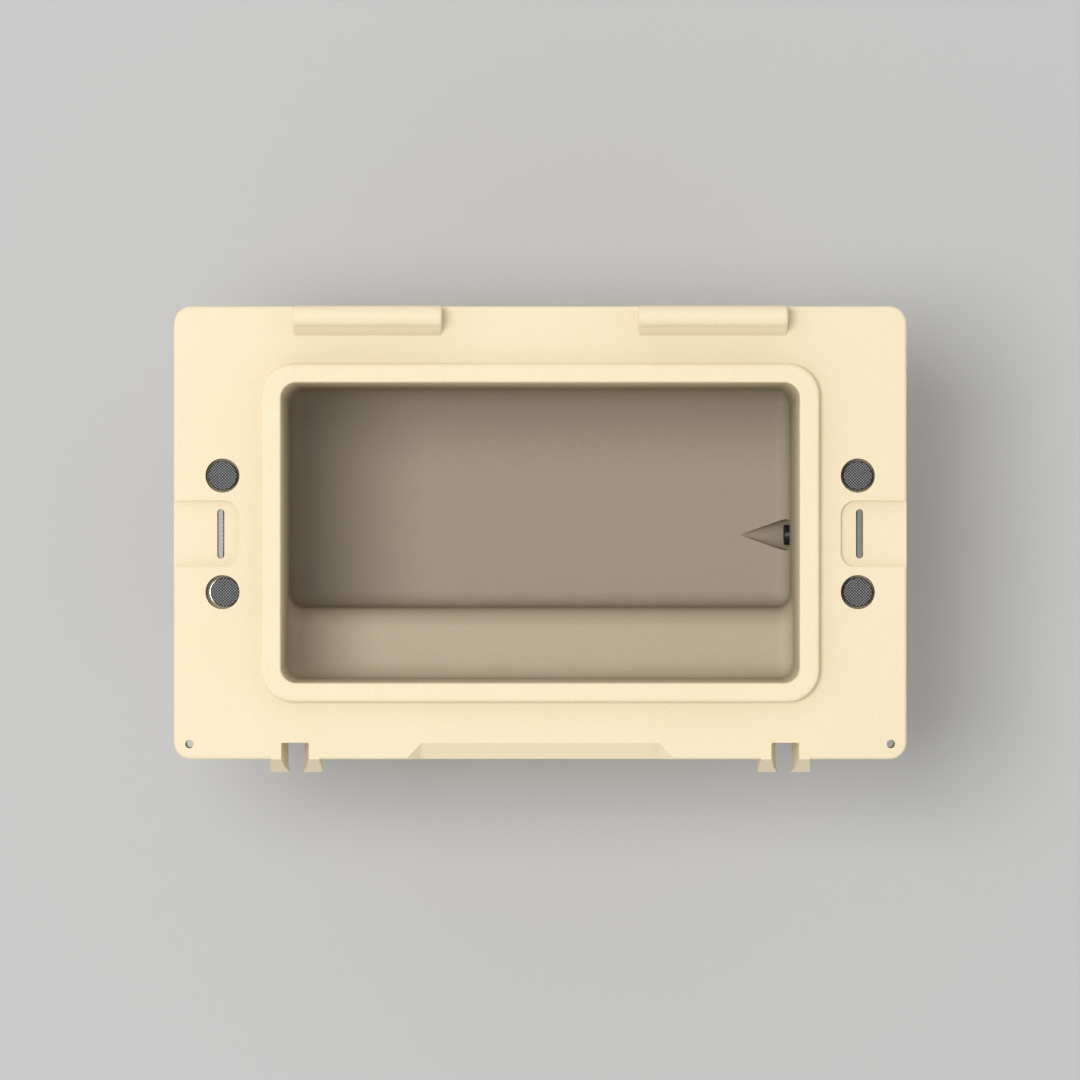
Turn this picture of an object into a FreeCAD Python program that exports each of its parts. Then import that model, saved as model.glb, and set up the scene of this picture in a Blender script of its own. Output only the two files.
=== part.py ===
import FreeCAD, Part
import math
import os
from FreeCAD import Vector

# Base of a rotomoulded ice chest: a hollow double-walled tub under a wide deck, filled with foam,
# with a raised rim for the lid's gasket, hinge knuckles behind and latch keepers in front.
# Lengths are in millimetres. While a piece is built, x and y are counted from the deck's centre and
# z from the ground. Every piece is then moved by PLAN_SHIFT, so that the whole stands centred on
# the origin: +X to the right, +Y to the hinges, +Z up.

# deck
DECK_WIDTH = 673.0
DECK_DEPTH = 416.0
DECK_CORNER_R = 16.0
DECK_HEIGHT = 335.0
DECK_EDGE_R = 3.0
FLANGE_THICKNESS = 34.0
FLANGE_UNDER_R = 5.0

# tub below the deck
SKIN = 4.5
FOOT_STAND = 6.0
END_OVERHANG = 60.5
FRONT_OVERHANG = 22.0
TUB_DRAFT_DEG = 2.5
TUB_CORNER_R = 32.0
TUB_BASE_R = 12.0
TUB_NECK_R = 7.0

# raised rim that the lid's gasket closes on
RIM_WIDTH = DECK_WIDTH - 161.0
RIM_DEPTH = DECK_DEPTH - 106.0
RIM_CORNER_R = 29.5
RIM_HEIGHT = 11.0
RIM_EDGE_R = 3.0
MOUTH_EDGE_R = 2.0

# cavity
MOUTH_WIDTH = RIM_WIDTH - 36.0
MOUTH_DEPTH = RIM_DEPTH - 34.0
CAVITY_CORNER_R = 14.5
CAVITY_BASE_R = 18.0
CAVITY_LEAN = 1.5
FLOOR_THICKNESS = 50.0
SHELF_HEIGHT = 100.0
SHELF_DEPTH = 66.5
SHELF_LIP_R = 24.0

# hinge knuckles
KNUCKLE_INNER_X = 90.0
KNUCKLE_LENGTH = 137.0
KNUCKLE_FOOT_DEPTH = 27.0
KNUCKLE_CROWN_DEPTH = 19.0
KNUCKLE_HEIGHT = 25.0
KNUCKLE_END_R = 3.0
HINGE_BORE_R = 5.0
HINGE_AXIS_UP = 13.0

# latch keepers
KEEPER_X = 225.1
KEEPER_WIDTH = 48.5
KEEPER_REACH = 13.0
KEEPER_SLOPE_DROP = 42.0
KEEPER_DROP = 50.0
KEEPER_DRAFT = 2.0
KEEPER_EDGE_R = 1.5
NOTCH_TOP_WIDTH = 25.6
NOTCH_FOOT_WIDTH = 15.0
NOTCH_DEPTH = 15.2
NOTCH_CORNER_R = 1.5
NOTCH_LIP = 1.5
NOTCH_LIP_LENGTH = 5.0

# recess for the fingers that lift the lid
FINGER_REAR_WIDTH = 218.0
FINGER_FRONT_WIDTH = 247.0
FINGER_FLOOR_WIDTH = 220.0
FINGER_DEPTH = 15.0
FINGER_DROP = 15.0
FINGER_CORNER_R = 5.0

# padlock holes
LOCK_X = DECK_WIDTH / 2 - 14.5
LOCK_INSET = 14.0
LOCK_HOLE_R = 3.9

# tie-down slots, and the shallow recess that a strap lies in
END_HARDWARE_Y = -1.0
STRAP_RECESS_LENGTH = 60.5
STRAP_RECESS_WIDTH = 61.0
STRAP_RECESS_R = 13.5
STRAP_RECESS_DROP = 4.0
STRAP_SLOT_X = DECK_WIDTH / 2 - 43.1
STRAP_SLOT_WIDTH = 6.6
STRAP_SLOT_LENGTH = 45.4

# rope handles
ROPE_D = 9.5
ROPE_X = DECK_WIDTH / 2 - 44.8
ROPE_PITCH = 107.0
ROPE_HOLE_GAP = 1.0
ROPE_SEAT_R = 15.7
ROPE_SEAT_DEPTH = 17.5
ROPE_PIVOT_GAP = 0.85
STOP_R = 13.4
STOP_TOP_BELOW_DECK = 2.5
STOP_SOCKET_DEPTH = 8.0
STOP_EDGE_R = 1.2
STOP_OFFSETS = {"front_left": 2.2, "rear_left": 0.0, "front_right": 0.0, "rear_right": 0.0}
WASHER_R = 12.5
WASHER_THICKNESS = 1.5
ROPE_BULGE = 2.0
ROPE_LEG = 33.0
ROPE_LOOP_DROP = 112.0
ROPE_LOOP_FLAT = 48.0
GRIP_R = ROPE_D / 2 + 0.95
GRIP_BORE_GAP = 0.1
GRIP_END_SHARE = 0.55
GRIP_END_R = 0.5

# finger pocket in each end wall, behind the grip
POCKET_WIDTH = 130.0
POCKET_HEIGHT = 110.0
POCKET_DEPTH = 12.0
POCKET_SLOPE = 8.0
POCKET_TOP_BELOW_DECK = 62.0
POCKET_CORNER_R = 20.0

# drain
DRAIN_Y = -2.0
GUTTER_LENGTH = 47.5
GUTTER_R = 17.0
SPOUT_TUBE_R = 9.75
SPOUT_BORE_R = 7.5
SPOUT_PROUD = 5.6
SPOUT_HOLE_GAP = 0.15
DRAIN_SEAT_R = 32.0
DRAIN_SEAT_DEPTH = 5.0
DRAIN_GASKET_R = 24.0
DRAIN_GASKET_THICKNESS = 1.5
SPOUT_FLANGE_R = 25.5
SPOUT_FLANGE_THICKNESS = 4.0
SPOUT_NECK_R = 13.2
SPOUT_NECK_LENGTH = 16.0
DRAIN_SCREW_PCR = 19.5
DRAIN_SCREW_COUNT = 3
DRAIN_SCREW_R = 1.75
DRAIN_SCREW_LENGTH = 11.0
DRAIN_SCREW_HEAD_R = 3.4
DRAIN_SCREW_HEAD_HEIGHT = 2.2
DRAIN_SCREW_GAP = 0.3
CAP_R = 17.5
CAP_BORE_GAP = 0.4
CAP_LENGTH = 18.0
CAP_ROOF = 3.5
CAP_FOOT_GAP = 1.0
CAP_EDGE_R = 2.0
CAP_WASHER_THICKNESS = 2.5
CAP_WASHER_GAP = 0.2
THREAD_PITCH = 2.209
THREAD_TURNS = 4

# feet
FOOT_X = 205.0
FOOT_Y = 118.0
FOOT_R = 23.0
FOOT_POCKET_GAP = 0.3
FOOT_POCKET_DEPTH = 6.0
FOOT_EDGE_R = 2.0
FOOT_SCREW_R = 3.0
FOOT_SCREW_HEAD_R = 5.5
FOOT_SCREW_HEAD_HEIGHT = 3.3
FOOT_SCREW_SEAT_DEPTH = 5.0
FOOT_SCREW_LENGTH = 16.0
FOOT_SCREW_GAP = 0.3
INSERT_R = 4.8
INSERT_LENGTH = 13.0
BOSS_WALL = 5.0

# foam and its filling plugs
FOAM_GAP = 0.2
PLUG_Y = 62.0
PLUG_R = 19.0
PLUG_STEM_R = 15.0
PLUG_HEAD_THICKNESS = 2.5
PLUG_GAP = 0.2

# worked out from the above
PLAN_SHIFT = Vector(0, KEEPER_REACH / 2, 0)
FLANGE_UNDER = DECK_HEIGHT - FLANGE_THICKNESS
RIM_TOP = DECK_HEIGHT + RIM_HEIGHT
FLOOR_Z = FOOT_STAND + FLOOR_THICKNESS
SHELF_Z = FLOOR_Z + SHELF_HEIGHT
TUB_TOP_WIDTH = DECK_WIDTH - 2 * END_OVERHANG
TUB_TOP_DEPTH = DECK_DEPTH - 2 * FRONT_OVERHANG
TUB_NARROWING = (FLANGE_UNDER - FOOT_STAND) * math.tan(math.radians(TUB_DRAFT_DEG))
ROPE_R = ROPE_D / 2
ROPE_SEAT_Z = DECK_HEIGHT - ROPE_SEAT_DEPTH
STOP_FOOT_Z = ROPE_SEAT_Z + WASHER_THICKNESS
ROPE_PIVOT_Z = FLANGE_UNDER - ROPE_R - ROPE_PIVOT_GAP
TINY = 0.01
PAST = 20.0


def rounded_wire(points, radii, closed):
    """Straight runs through the points, with an arc of the given radius at each corner."""
    count = len(points)
    starts = list(points)
    ends = list(points)
    arcs = [None] * count
    for i in range(count):
        if radii[i] == 0:
            continue
        back = points[i - 1] - points[i]
        onward = points[(i + 1) % count] - points[i]
        back.normalize()
        onward.normalize()
        half = back.getAngle(onward) / 2
        inward = back + onward
        inward.normalize()
        starts[i] = points[i] + back * (radii[i] / math.tan(half))
        ends[i] = points[i] + onward * (radii[i] / math.tan(half))
        middle = points[i] + inward * (radii[i] / math.sin(half) - radii[i])
        arcs[i] = Part.Arc(starts[i], middle, ends[i]).toShape()
    edges = []
    for i in range(count):
        if arcs[i]:
            edges.append(arcs[i])
        last = i == count - 1
        if last and not closed:
            break
        following = starts[(i + 1) % count]
        if (following - ends[i]).Length > TINY:
            edges.append(Part.LineSegment(ends[i], following).toShape())
    return Part.Wire(edges)


def rounded_rect(width, depth, radius, z, centre=(0.0, 0.0)):
    """Flat rectangle with round corners at height z."""
    x, y = centre
    corners = [
        Vector(x - width / 2, y - depth / 2, z),
        Vector(x + width / 2, y - depth / 2, z),
        Vector(x + width / 2, y + depth / 2, z),
        Vector(x - width / 2, y + depth / 2, z),
    ]
    return rounded_wire(corners, [radius] * 4, True)


def slab(wire, height):
    """Solid of a flat wire raised by height."""
    return Part.Face(wire).extrude(Vector(0, 0, height))


def taper(first, second):
    """Solid between two matching wires, with straight sides."""
    return Part.makeLoft([first, second], True, True)


def rod(radius, start, direction, length):
    """Round bar from a point along a direction."""
    return Part.makeCylinder(radius, length, start, direction)


def fuse_all(shapes):
    """One solid from several that touch, with no seams left between flush faces."""
    whole = shapes[0]
    for shape in shapes[1:]:
        whole = whole.fuse(shape)
    return whole.removeSplitter()


def cut_all(shape, tools):
    """A shape less every tool in turn."""
    for tool in tools:
        shape = shape.cut(tool)
    return shape


def edges_where(shape, test):
    """Edges whose every end and middle point passes the test."""
    found = []
    for edge in shape.Edges:
        first, last = edge.ParameterRange
        spots = [edge.valueAt(first), edge.valueAt((first + last) / 2), edge.valueAt(last)]
        if all(test(spot) for spot in spots):
            found.append(edge)
    return found


def at_height(z):
    """Test for points at height z."""
    return lambda spot: abs(spot.z - z) < TINY


def rounded_at(shape, radius, test):
    """A shape with the edges that pass the test rounded."""
    return shape.makeFillet(radius, edges_where(shape, test))


def deck_slab():
    """The deck with its soft outer edges."""
    deck = slab(rounded_rect(DECK_WIDTH, DECK_DEPTH, DECK_CORNER_R, FLANGE_UNDER), FLANGE_THICKNESS)
    deck = rounded_at(deck, DECK_EDGE_R, at_height(DECK_HEIGHT))
    return rounded_at(deck, FLANGE_UNDER_R, at_height(FLANGE_UNDER))


def tub_block(inset, top):
    """The drafted tub without its cavity, drawn in by inset on every side, up to a height."""
    base = FOOT_STAND + inset
    lean = math.tan(math.radians(TUB_DRAFT_DEG))
    narrow_top = 2 * inset - 2 * (top - FLANGE_UNDER) * lean
    narrow_base = 2 * inset + 2 * (FLANGE_UNDER - base) * lean
    radius = TUB_CORNER_R - inset
    lower = rounded_rect(TUB_TOP_WIDTH - narrow_base, TUB_TOP_DEPTH - narrow_base, radius, base)
    upper = rounded_rect(TUB_TOP_WIDTH - narrow_top, TUB_TOP_DEPTH - narrow_top, radius, top)
    return taper(lower, upper)


def outer_form():
    """Deck and tub in one, with a rounded neck under the deck and a rounded base."""
    tub = tub_block(0.0, DECK_HEIGHT - DECK_EDGE_R)
    tub = rounded_at(tub, TUB_BASE_R, at_height(FOOT_STAND))
    whole = fuse_all([deck_slab(), tub])

    def on_neck(spot):
        inside_x = abs(spot.x) < TUB_TOP_WIDTH / 2 + 1
        inside_y = abs(spot.y) < TUB_TOP_DEPTH / 2 + 1
        return abs(spot.z - FLANGE_UNDER) < TINY and inside_x and inside_y

    return rounded_at(whole, TUB_NECK_R, on_neck)


def rim_block():
    """The raised rim, still without its mouth."""
    sunk = DECK_HEIGHT - DECK_EDGE_R
    rim = slab(rounded_rect(RIM_WIDTH, RIM_DEPTH, RIM_CORNER_R, sunk), RIM_TOP - sunk)
    return rounded_at(rim, RIM_EDGE_R, at_height(RIM_TOP))


def cavity(grow):
    """The space inside: a deep pit behind and a raised shelf in front, grown by grow on every side."""
    half = MOUTH_WIDTH / 2 + grow
    top = RIM_TOP + PAST
    front = -MOUTH_DEPTH / 2 - grow
    rear = MOUTH_DEPTH / 2 + grow
    step = -MOUTH_DEPTH / 2 + SHELF_DEPTH - grow
    corners = [
        Vector(-half, front, top),
        Vector(-half, front + CAVITY_LEAN, SHELF_Z - grow),
        Vector(-half, step, SHELF_Z - grow),
        Vector(-half, step + CAVITY_LEAN, FLOOR_Z - grow),
        Vector(-half, rear - CAVITY_LEAN, FLOOR_Z - grow),
        Vector(-half, rear, top),
    ]
    hollow_r = CAVITY_BASE_R + grow
    radii = [0, hollow_r, SHELF_LIP_R - grow, hollow_r, hollow_r, 0]
    space = Part.Face(rounded_wire(corners, radii, True)).extrude(Vector(2 * half, 0, 0))

    def on_an_end(spot):
        return abs(abs(spot.x) - half) < TINY

    ends = edges_where(space, on_an_end)
    ends = [edge for edge in ends if not at_height(top)(edge.CenterOfMass)]
    return space.makeFillet(CAVITY_CORNER_R + grow, ends)


def gutter(grow):
    """Half-cone in the floor that leads to the drain, grown by grow."""
    wall_x = MOUTH_WIDTH / 2
    slope = GUTTER_R / GUTTER_LENGTH
    reach = GUTTER_LENGTH + grow / slope
    start = Vector(wall_x - reach, DRAIN_Y, FLOOR_Z)
    return Part.makeCone(0, GUTTER_R + grow, reach, start, Vector(1, 0, 0))


def knuckle_place(side):
    """x of a knuckle's left end; side is -1 or 1."""
    return KNUCKLE_INNER_X if side > 0 else -KNUCKLE_INNER_X - KNUCKLE_LENGTH


def hinge_axis():
    """y and z of the hinge rod."""
    return DECK_DEPTH / 2 - KNUCKLE_CROWN_DEPTH / 2, DECK_HEIGHT + HINGE_AXIS_UP


def knuckle(side):
    """One hinge knuckle: upright behind, round on top, sloped in front."""
    x = knuckle_place(side)
    rear = DECK_DEPTH / 2
    crown_front = rear - KNUCKLE_CROWN_DEPTH
    crown_r = KNUCKLE_CROWN_DEPTH / 2
    top = DECK_HEIGHT + KNUCKLE_HEIGHT
    spring = top - crown_r
    sunk = DECK_HEIGHT - FLANGE_THICKNESS / 2
    edges = [
        Part.LineSegment(Vector(x, rear, sunk), Vector(x, rear, spring)).toShape(),
        Part.Arc(
            Vector(x, rear, spring),
            Vector(x, rear - crown_r, top),
            Vector(x, crown_front, spring),
        ).toShape(),
        Part.LineSegment(
            Vector(x, crown_front, spring), Vector(x, rear - KNUCKLE_FOOT_DEPTH, DECK_HEIGHT)
        ).toShape(),
        Part.LineSegment(
            Vector(x, rear - KNUCKLE_FOOT_DEPTH, DECK_HEIGHT), Vector(x, crown_front, sunk)
        ).toShape(),
        Part.LineSegment(Vector(x, crown_front, sunk), Vector(x, rear, sunk)).toShape(),
    ]
    block = Part.Face(Part.Wire(edges)).extrude(Vector(KNUCKLE_LENGTH, 0, 0))

    def on_an_end(spot):
        at_end = min(abs(spot.x - x), abs(spot.x - x - KNUCKLE_LENGTH)) < TINY
        return at_end and spot.z > DECK_HEIGHT - TINY

    return rounded_at(block, KNUCKLE_END_R, on_an_end)


def hinge_bore(side):
    """The hole along a knuckle for the lid's hinge rod."""
    y, z = hinge_axis()
    start = Vector(knuckle_place(side) - PAST, y, z)
    return rod(HINGE_BORE_R, start, Vector(1, 0, 0), KNUCKLE_LENGTH + 2 * PAST)


def keeper(side):
    """A pair of latch ears in one block, leaning out below the deck's front edge."""
    front = -DECK_DEPTH / 2
    back = front + FRONT_OVERHANG + TUB_NECK_R
    slope_foot = DECK_HEIGHT - KEEPER_SLOPE_DROP
    foot = DECK_HEIGHT - KEEPER_DROP
    narrow = KEEPER_WIDTH - 2 * KEEPER_DRAFT

    def ring(width, reach, z):
        y0 = front - reach
        corners = [
            Vector(side * KEEPER_X - width / 2, y0, z),
            Vector(side * KEEPER_X + width / 2, y0, z),
            Vector(side * KEEPER_X + width / 2, back, z),
            Vector(side * KEEPER_X - width / 2, back, z),
        ]
        return rounded_wire(corners, [0] * 4, True)

    slope = taper(ring(KEEPER_WIDTH, KEEPER_REACH, slope_foot), ring(narrow, 0.0, DECK_HEIGHT))
    below = slab(ring(KEEPER_WIDTH, KEEPER_REACH, foot), slope_foot - foot)
    block = fuse_all([slope, below])

    def on_the_nose(spot):
        return spot.y < front - KEEPER_REACH + TINY and spot.z > foot - TINY

    return rounded_at(block, KEEPER_EDGE_R, on_the_nose)


def notch(side, grow):
    """The funnel between a pair of latch ears, open to the front, with a lip at each ear's tip."""
    front = -DECK_DEPTH / 2
    rear = front + NOTCH_DEPTH + grow
    tip = front - KEEPER_REACH
    lean = (NOTCH_TOP_WIDTH - NOTCH_FOOT_WIDTH) / KEEPER_DROP

    def ring(z):
        half = (NOTCH_TOP_WIDTH - (DECK_HEIGHT - z) * lean) / 2 + grow
        lip = half - NOTCH_LIP
        x = side * KEEPER_X
        outline = [
            (lip, tip - PAST),
            (lip, tip + NOTCH_LIP),
            (half, tip + NOTCH_LIP_LENGTH),
            (half, rear),
        ]
        right = [Vector(x + width, y, z) for width, y in outline]
        left = [Vector(x - width, y, z) for width, y in reversed(outline)]
        radii = [0, 0, 0, NOTCH_CORNER_R, NOTCH_CORNER_R, 0, 0, 0]
        return rounded_wire(right + left, radii, True)

    return taper(ring(DECK_HEIGHT - KEEPER_DROP - PAST), ring(DECK_HEIGHT + PAST))


def finger_recess(grow):
    """The scoop in the middle of the deck's front edge: a ramp with two slanted ends."""
    front = -DECK_DEPTH / 2
    past = 1.5
    slope_x = (FINGER_FRONT_WIDTH - FINGER_REAR_WIDTH) / 2 / FINGER_DEPTH
    slope_z = FINGER_DROP / FINGER_DEPTH
    end_lean = (FINGER_FRONT_WIDTH - FINGER_FLOOR_WIDTH) / 2 / FINGER_DROP
    rear = front + FINGER_DEPTH
    top = DECK_HEIGHT + grow

    def section(y):
        run = rear - y + grow
        drop = run * slope_z
        wide = FINGER_REAR_WIDTH / 2 + run * slope_x + grow
        foot = wide - (drop + 2 * grow) * end_lean
        corners = [
            Vector(-wide, y, top),
            Vector(-foot, y, top - drop - 2 * grow),
            Vector(foot, y, top - drop - 2 * grow),
            Vector(wide, y, top),
        ]
        return rounded_wire(corners, [0] * 4, True)

    ramp = taper(section(rear + grow - TINY), section(front - past - grow))
    run = FINGER_DEPTH + past + 2 * grow
    back_x = FINGER_REAR_WIDTH / 2 + grow
    front_x = back_x + run * slope_x
    plan = [
        Vector(-front_x, front - past - grow, top - 2 * FINGER_DROP),
        Vector(front_x, front - past - grow, top - 2 * FINGER_DROP),
        Vector(back_x, rear + grow, top - 2 * FINGER_DROP),
        Vector(-back_x, rear + grow, top - 2 * FINGER_DROP),
    ]
    outline = rounded_wire(plan, [0, 0, FINGER_CORNER_R, FINGER_CORNER_R], True)
    return ramp.common(slab(outline, 3 * FINGER_DROP + grow))


def lock_hole(side, grow):
    """Padlock hole at a front corner of the deck."""
    start = Vector(side * LOCK_X, -DECK_DEPTH / 2 + LOCK_INSET, FLANGE_UNDER - PAST)
    return rod(LOCK_HOLE_R + grow, start, Vector(0, 0, 1), FLANGE_THICKNESS + 2 * PAST)


def strap_recess(side, grow):
    """Shallow step in the deck's end for a tie-down strap, open to the side."""
    inner_x = DECK_WIDTH / 2 - STRAP_RECESS_LENGTH
    length = STRAP_RECESS_LENGTH + PAST + 2 * grow
    centre_x = side * (inner_x - grow + length / 2)
    width = STRAP_RECESS_WIDTH + 2 * grow
    floor = DECK_HEIGHT - STRAP_RECESS_DROP - grow
    outline = rounded_rect(length, width, STRAP_RECESS_R, floor, (centre_x, END_HARDWARE_Y))
    return slab(outline, STRAP_RECESS_DROP + grow + PAST)


def strap_slot(side, grow):
    """Slot with round ends that a strap passes down through."""
    width = STRAP_SLOT_WIDTH + 2 * grow
    length = STRAP_SLOT_LENGTH + 2 * grow
    place = (side * STRAP_SLOT_X, END_HARDWARE_Y)
    outline = rounded_rect(width, length, width / 2 - TINY, FLANGE_UNDER - PAST, place)
    return slab(outline, FLANGE_THICKNESS + 2 * PAST)


def rope_place(side, row):
    """x and y of a rope hole; side is -1 or 1 in x and row is -1 or 1 in y."""
    return side * ROPE_X, END_HARDWARE_Y + row * ROPE_PITCH / 2


def rope_hole(side, row, grow):
    """Stepped hole for a rope's end: wide above for the stop, narrow below for the rope."""
    x, y = rope_place(side, row)
    seat_start = Vector(x, y, ROPE_SEAT_Z - grow)
    seat = rod(ROPE_SEAT_R + grow, seat_start, Vector(0, 0, 1), ROPE_SEAT_DEPTH + PAST)
    narrow_r = ROPE_R + ROPE_HOLE_GAP + grow
    narrow = rod(narrow_r, Vector(x, y, FLANGE_UNDER - PAST), Vector(0, 0, 1), FLANGE_THICKNESS + PAST)
    return seat.fuse(narrow)


def end_wall_x(z):
    """How far out the tub's end wall stands at height z."""
    return TUB_TOP_WIDTH / 2 - (FLANGE_UNDER - z) * math.tan(math.radians(TUB_DRAFT_DEG))


def upright_rect(x, width, height, radius, centre_z):
    """Rectangle with round corners on the plane at x, facing along X."""
    y = END_HARDWARE_Y
    corners = [
        Vector(x, y - width / 2, centre_z - height / 2),
        Vector(x, y + width / 2, centre_z - height / 2),
        Vector(x, y + width / 2, centre_z + height / 2),
        Vector(x, y - width / 2, centre_z + height / 2),
    ]
    return rounded_wire(corners, [radius] * 4, True)


def finger_pocket(side, grow):
    """Hollow in an end wall behind the grip, so that a hand can reach round it."""
    centre_z = DECK_HEIGHT - POCKET_TOP_BELOW_DECK - POCKET_HEIGHT / 2
    wall_x = end_wall_x(centre_z)
    floor_x = wall_x - POCKET_DEPTH - grow
    mouth_x = wall_x + POCKET_SLOPE
    per_mm = POCKET_SLOPE / POCKET_DEPTH
    spread = 2 * (mouth_x - floor_x) * per_mm
    width = POCKET_WIDTH - 2 * POCKET_SLOPE + 2 * grow
    height = POCKET_HEIGHT - 2 * POCKET_SLOPE + 2 * grow
    inner = upright_rect(side * floor_x, width, height, POCKET_CORNER_R, centre_z)
    outer = upright_rect(side * mouth_x, width + spread, height + spread, POCKET_CORNER_R, centre_z)
    return taper(inner, outer)


def drain_seat_x():
    """x of the flat seat outside, that the drain's gasket lies on."""
    return end_wall_x(FLOOR_Z) - DRAIN_SEAT_DEPTH


def along_drain(radius, start_x, length):
    """Round bar on the drain's axis."""
    return rod(radius, Vector(start_x, DRAIN_Y, FLOOR_Z), Vector(1, 0, 0), length)


def drain_cuts():
    """Round seat in the end wall, the drain's hole and the holes for its screws."""
    seat = along_drain(DRAIN_SEAT_R, drain_seat_x(), PAST)
    hole = along_drain(SPOUT_TUBE_R + SPOUT_HOLE_GAP, MOUTH_WIDTH / 2 - PAST, 3 * PAST)
    return [seat, hole] + [screw_hole(i) for i in range(DRAIN_SCREW_COUNT)]


def screw_spot(i):
    """y and z of one drain screw."""
    turn = 2 * math.pi * i / DRAIN_SCREW_COUNT + math.pi / 2
    return DRAIN_Y + DRAIN_SCREW_PCR * math.cos(turn), FLOOR_Z + DRAIN_SCREW_PCR * math.sin(turn)


def screw_hole(i):
    """Hole in the shell for one drain screw."""
    y, z = screw_spot(i)
    start = Vector(drain_seat_x() - drain_screw_depth() - 1, y, z)
    return rod(DRAIN_SCREW_R + TINY, start, Vector(1, 0, 0), PAST)


def drain_screw_depth():
    """How far a drain screw goes into the shell."""
    return DRAIN_SCREW_LENGTH - SPOUT_FLANGE_THICKNESS - DRAIN_GASKET_THICKNESS


def corner_spots():
    """x and y of each foot, by name."""
    return {
        "front_left": (-FOOT_X, -FOOT_Y),
        "front_right": (FOOT_X, -FOOT_Y),
        "rear_left": (-FOOT_X, FOOT_Y),
        "rear_right": (FOOT_X, FOOT_Y),
    }


def foot_cuts(spot):
    """Pocket for a foot and the hole for its threaded insert."""
    x, y = spot
    pocket_start = Vector(x, y, FOOT_STAND - 1)
    pocket = rod(FOOT_R + FOOT_POCKET_GAP, pocket_start, Vector(0, 0, 1), FOOT_POCKET_DEPTH + 1)
    seat = FOOT_STAND + FOOT_POCKET_DEPTH
    hole = rod(INSERT_R, Vector(x, y, seat - 1), Vector(0, 0, 1), INSERT_LENGTH + 1)
    return [pocket, hole]


def foot_boss(spot, grow):
    """Solid column in the shell around a foot's pocket and insert."""
    x, y = spot
    height = FOOT_STAND + FOOT_POCKET_DEPTH + BOSS_WALL + grow
    wide = rod(FOOT_R + BOSS_WALL + grow, Vector(x, y, 0), Vector(0, 0, 1), height)
    tall_top = FOOT_STAND + FOOT_POCKET_DEPTH + INSERT_LENGTH + BOSS_WALL + grow
    tall = rod(INSERT_R + BOSS_WALL + grow, Vector(x, y, 0), Vector(0, 0, 1), tall_top)
    return wide.fuse(tall)


def plug_cuts(row):
    """Hole for a filling plug, with a shallow seat for its head."""
    y = row * PLUG_Y
    head = rod(PLUG_R + PLUG_GAP, Vector(0, y, FOOT_STAND - 1), Vector(0, 0, 1), PLUG_HEAD_THICKNESS + 1)
    stem = rod(PLUG_STEM_R + PLUG_GAP, Vector(0, y, FOOT_STAND - 1), Vector(0, 0, 1), SKIN + PAST)
    return [head, stem]


def plug_collar(row, grow):
    """Thicker skin around a filling hole, so that the head's seat leaves a full wall."""
    y = row * PLUG_Y
    height = FOOT_STAND + PLUG_HEAD_THICKNESS + SKIN + grow
    return rod(PLUG_R + BOSS_WALL + grow, Vector(0, y, 0), Vector(0, 0, 1), height)


def core(inset):
    """The space between the two walls, drawn in by inset from every surface."""
    top = DECK_HEIGHT - inset
    deck_r = DECK_CORNER_R - inset
    flange = slab(
        rounded_rect(DECK_WIDTH - 2 * inset, DECK_DEPTH - 2 * inset, deck_r, FLANGE_UNDER + inset),
        FLANGE_THICKNESS - 2 * inset,
    )
    room = fuse_all([tub_block(inset, top), flange])
    walls = [cavity(inset), gutter(inset), finger_recess(inset)]
    walls.append(along_drain(DRAIN_SEAT_R + inset, drain_seat_x() - inset, PAST + inset))
    walls.append(along_drain(SPOUT_TUBE_R + inset, MOUTH_WIDTH / 2 - PAST, 3 * PAST))
    for i in range(DRAIN_SCREW_COUNT):
        y, z = screw_spot(i)
        depth = drain_screw_depth() + inset
        start = Vector(drain_seat_x() - depth, y, z)
        walls.append(rod(DRAIN_SCREW_R + inset, start, Vector(1, 0, 0), depth + PAST))
    for side in (-1, 1):
        walls.append(notch(side, inset))
        walls.append(lock_hole(side, inset))
        walls.append(strap_recess(side, inset))
        walls.append(strap_slot(side, inset))
        walls.append(finger_pocket(side, inset))
        walls.append(plug_collar(side, inset - SKIN))
        for row in (-1, 1):
            walls.append(rope_hole(side, row, inset))
    for spot in corner_spots().values():
        walls.append(foot_boss(spot, inset - SKIN))
    return cut_all(room, walls)


def body_shell():
    """The one-piece moulded shell with every feature cut through both of its walls."""
    solids = [outer_form(), rim_block()]
    solids += [knuckle(side) for side in (-1, 1)]
    solids += [keeper(side) for side in (-1, 1)]
    shell = fuse_all(solids).cut(cavity(0.0))

    def on_mouth(spot):
        inside = abs(spot.x) < MOUTH_WIDTH / 2 + 1 and abs(spot.y) < MOUTH_DEPTH / 2 + 1
        return abs(spot.z - RIM_TOP) < TINY and inside

    shell = rounded_at(shell, MOUTH_EDGE_R, on_mouth)
    cuts = [gutter(0.0), finger_recess(0.0)]
    cuts += drain_cuts()
    for side in (-1, 1):
        cuts += [hinge_bore(side), notch(side, 0.0), lock_hole(side, 0.0)]
        cuts += [strap_recess(side, 0.0), strap_slot(side, 0.0), finger_pocket(side, 0.0)]
        cuts += [rope_hole(side, row, 0.0) for row in (-1, 1)]
    for spot in corner_spots().values():
        cuts += foot_cuts(spot)
    shell = cut_all(shell, cuts)
    shell = shell.cut(core(SKIN))
    return cut_all(shell, plug_cuts(-1) + plug_cuts(1))


def foam_core():
    """Rigid foam that fills the space between the walls."""
    return core(SKIN + FOAM_GAP)


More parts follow.
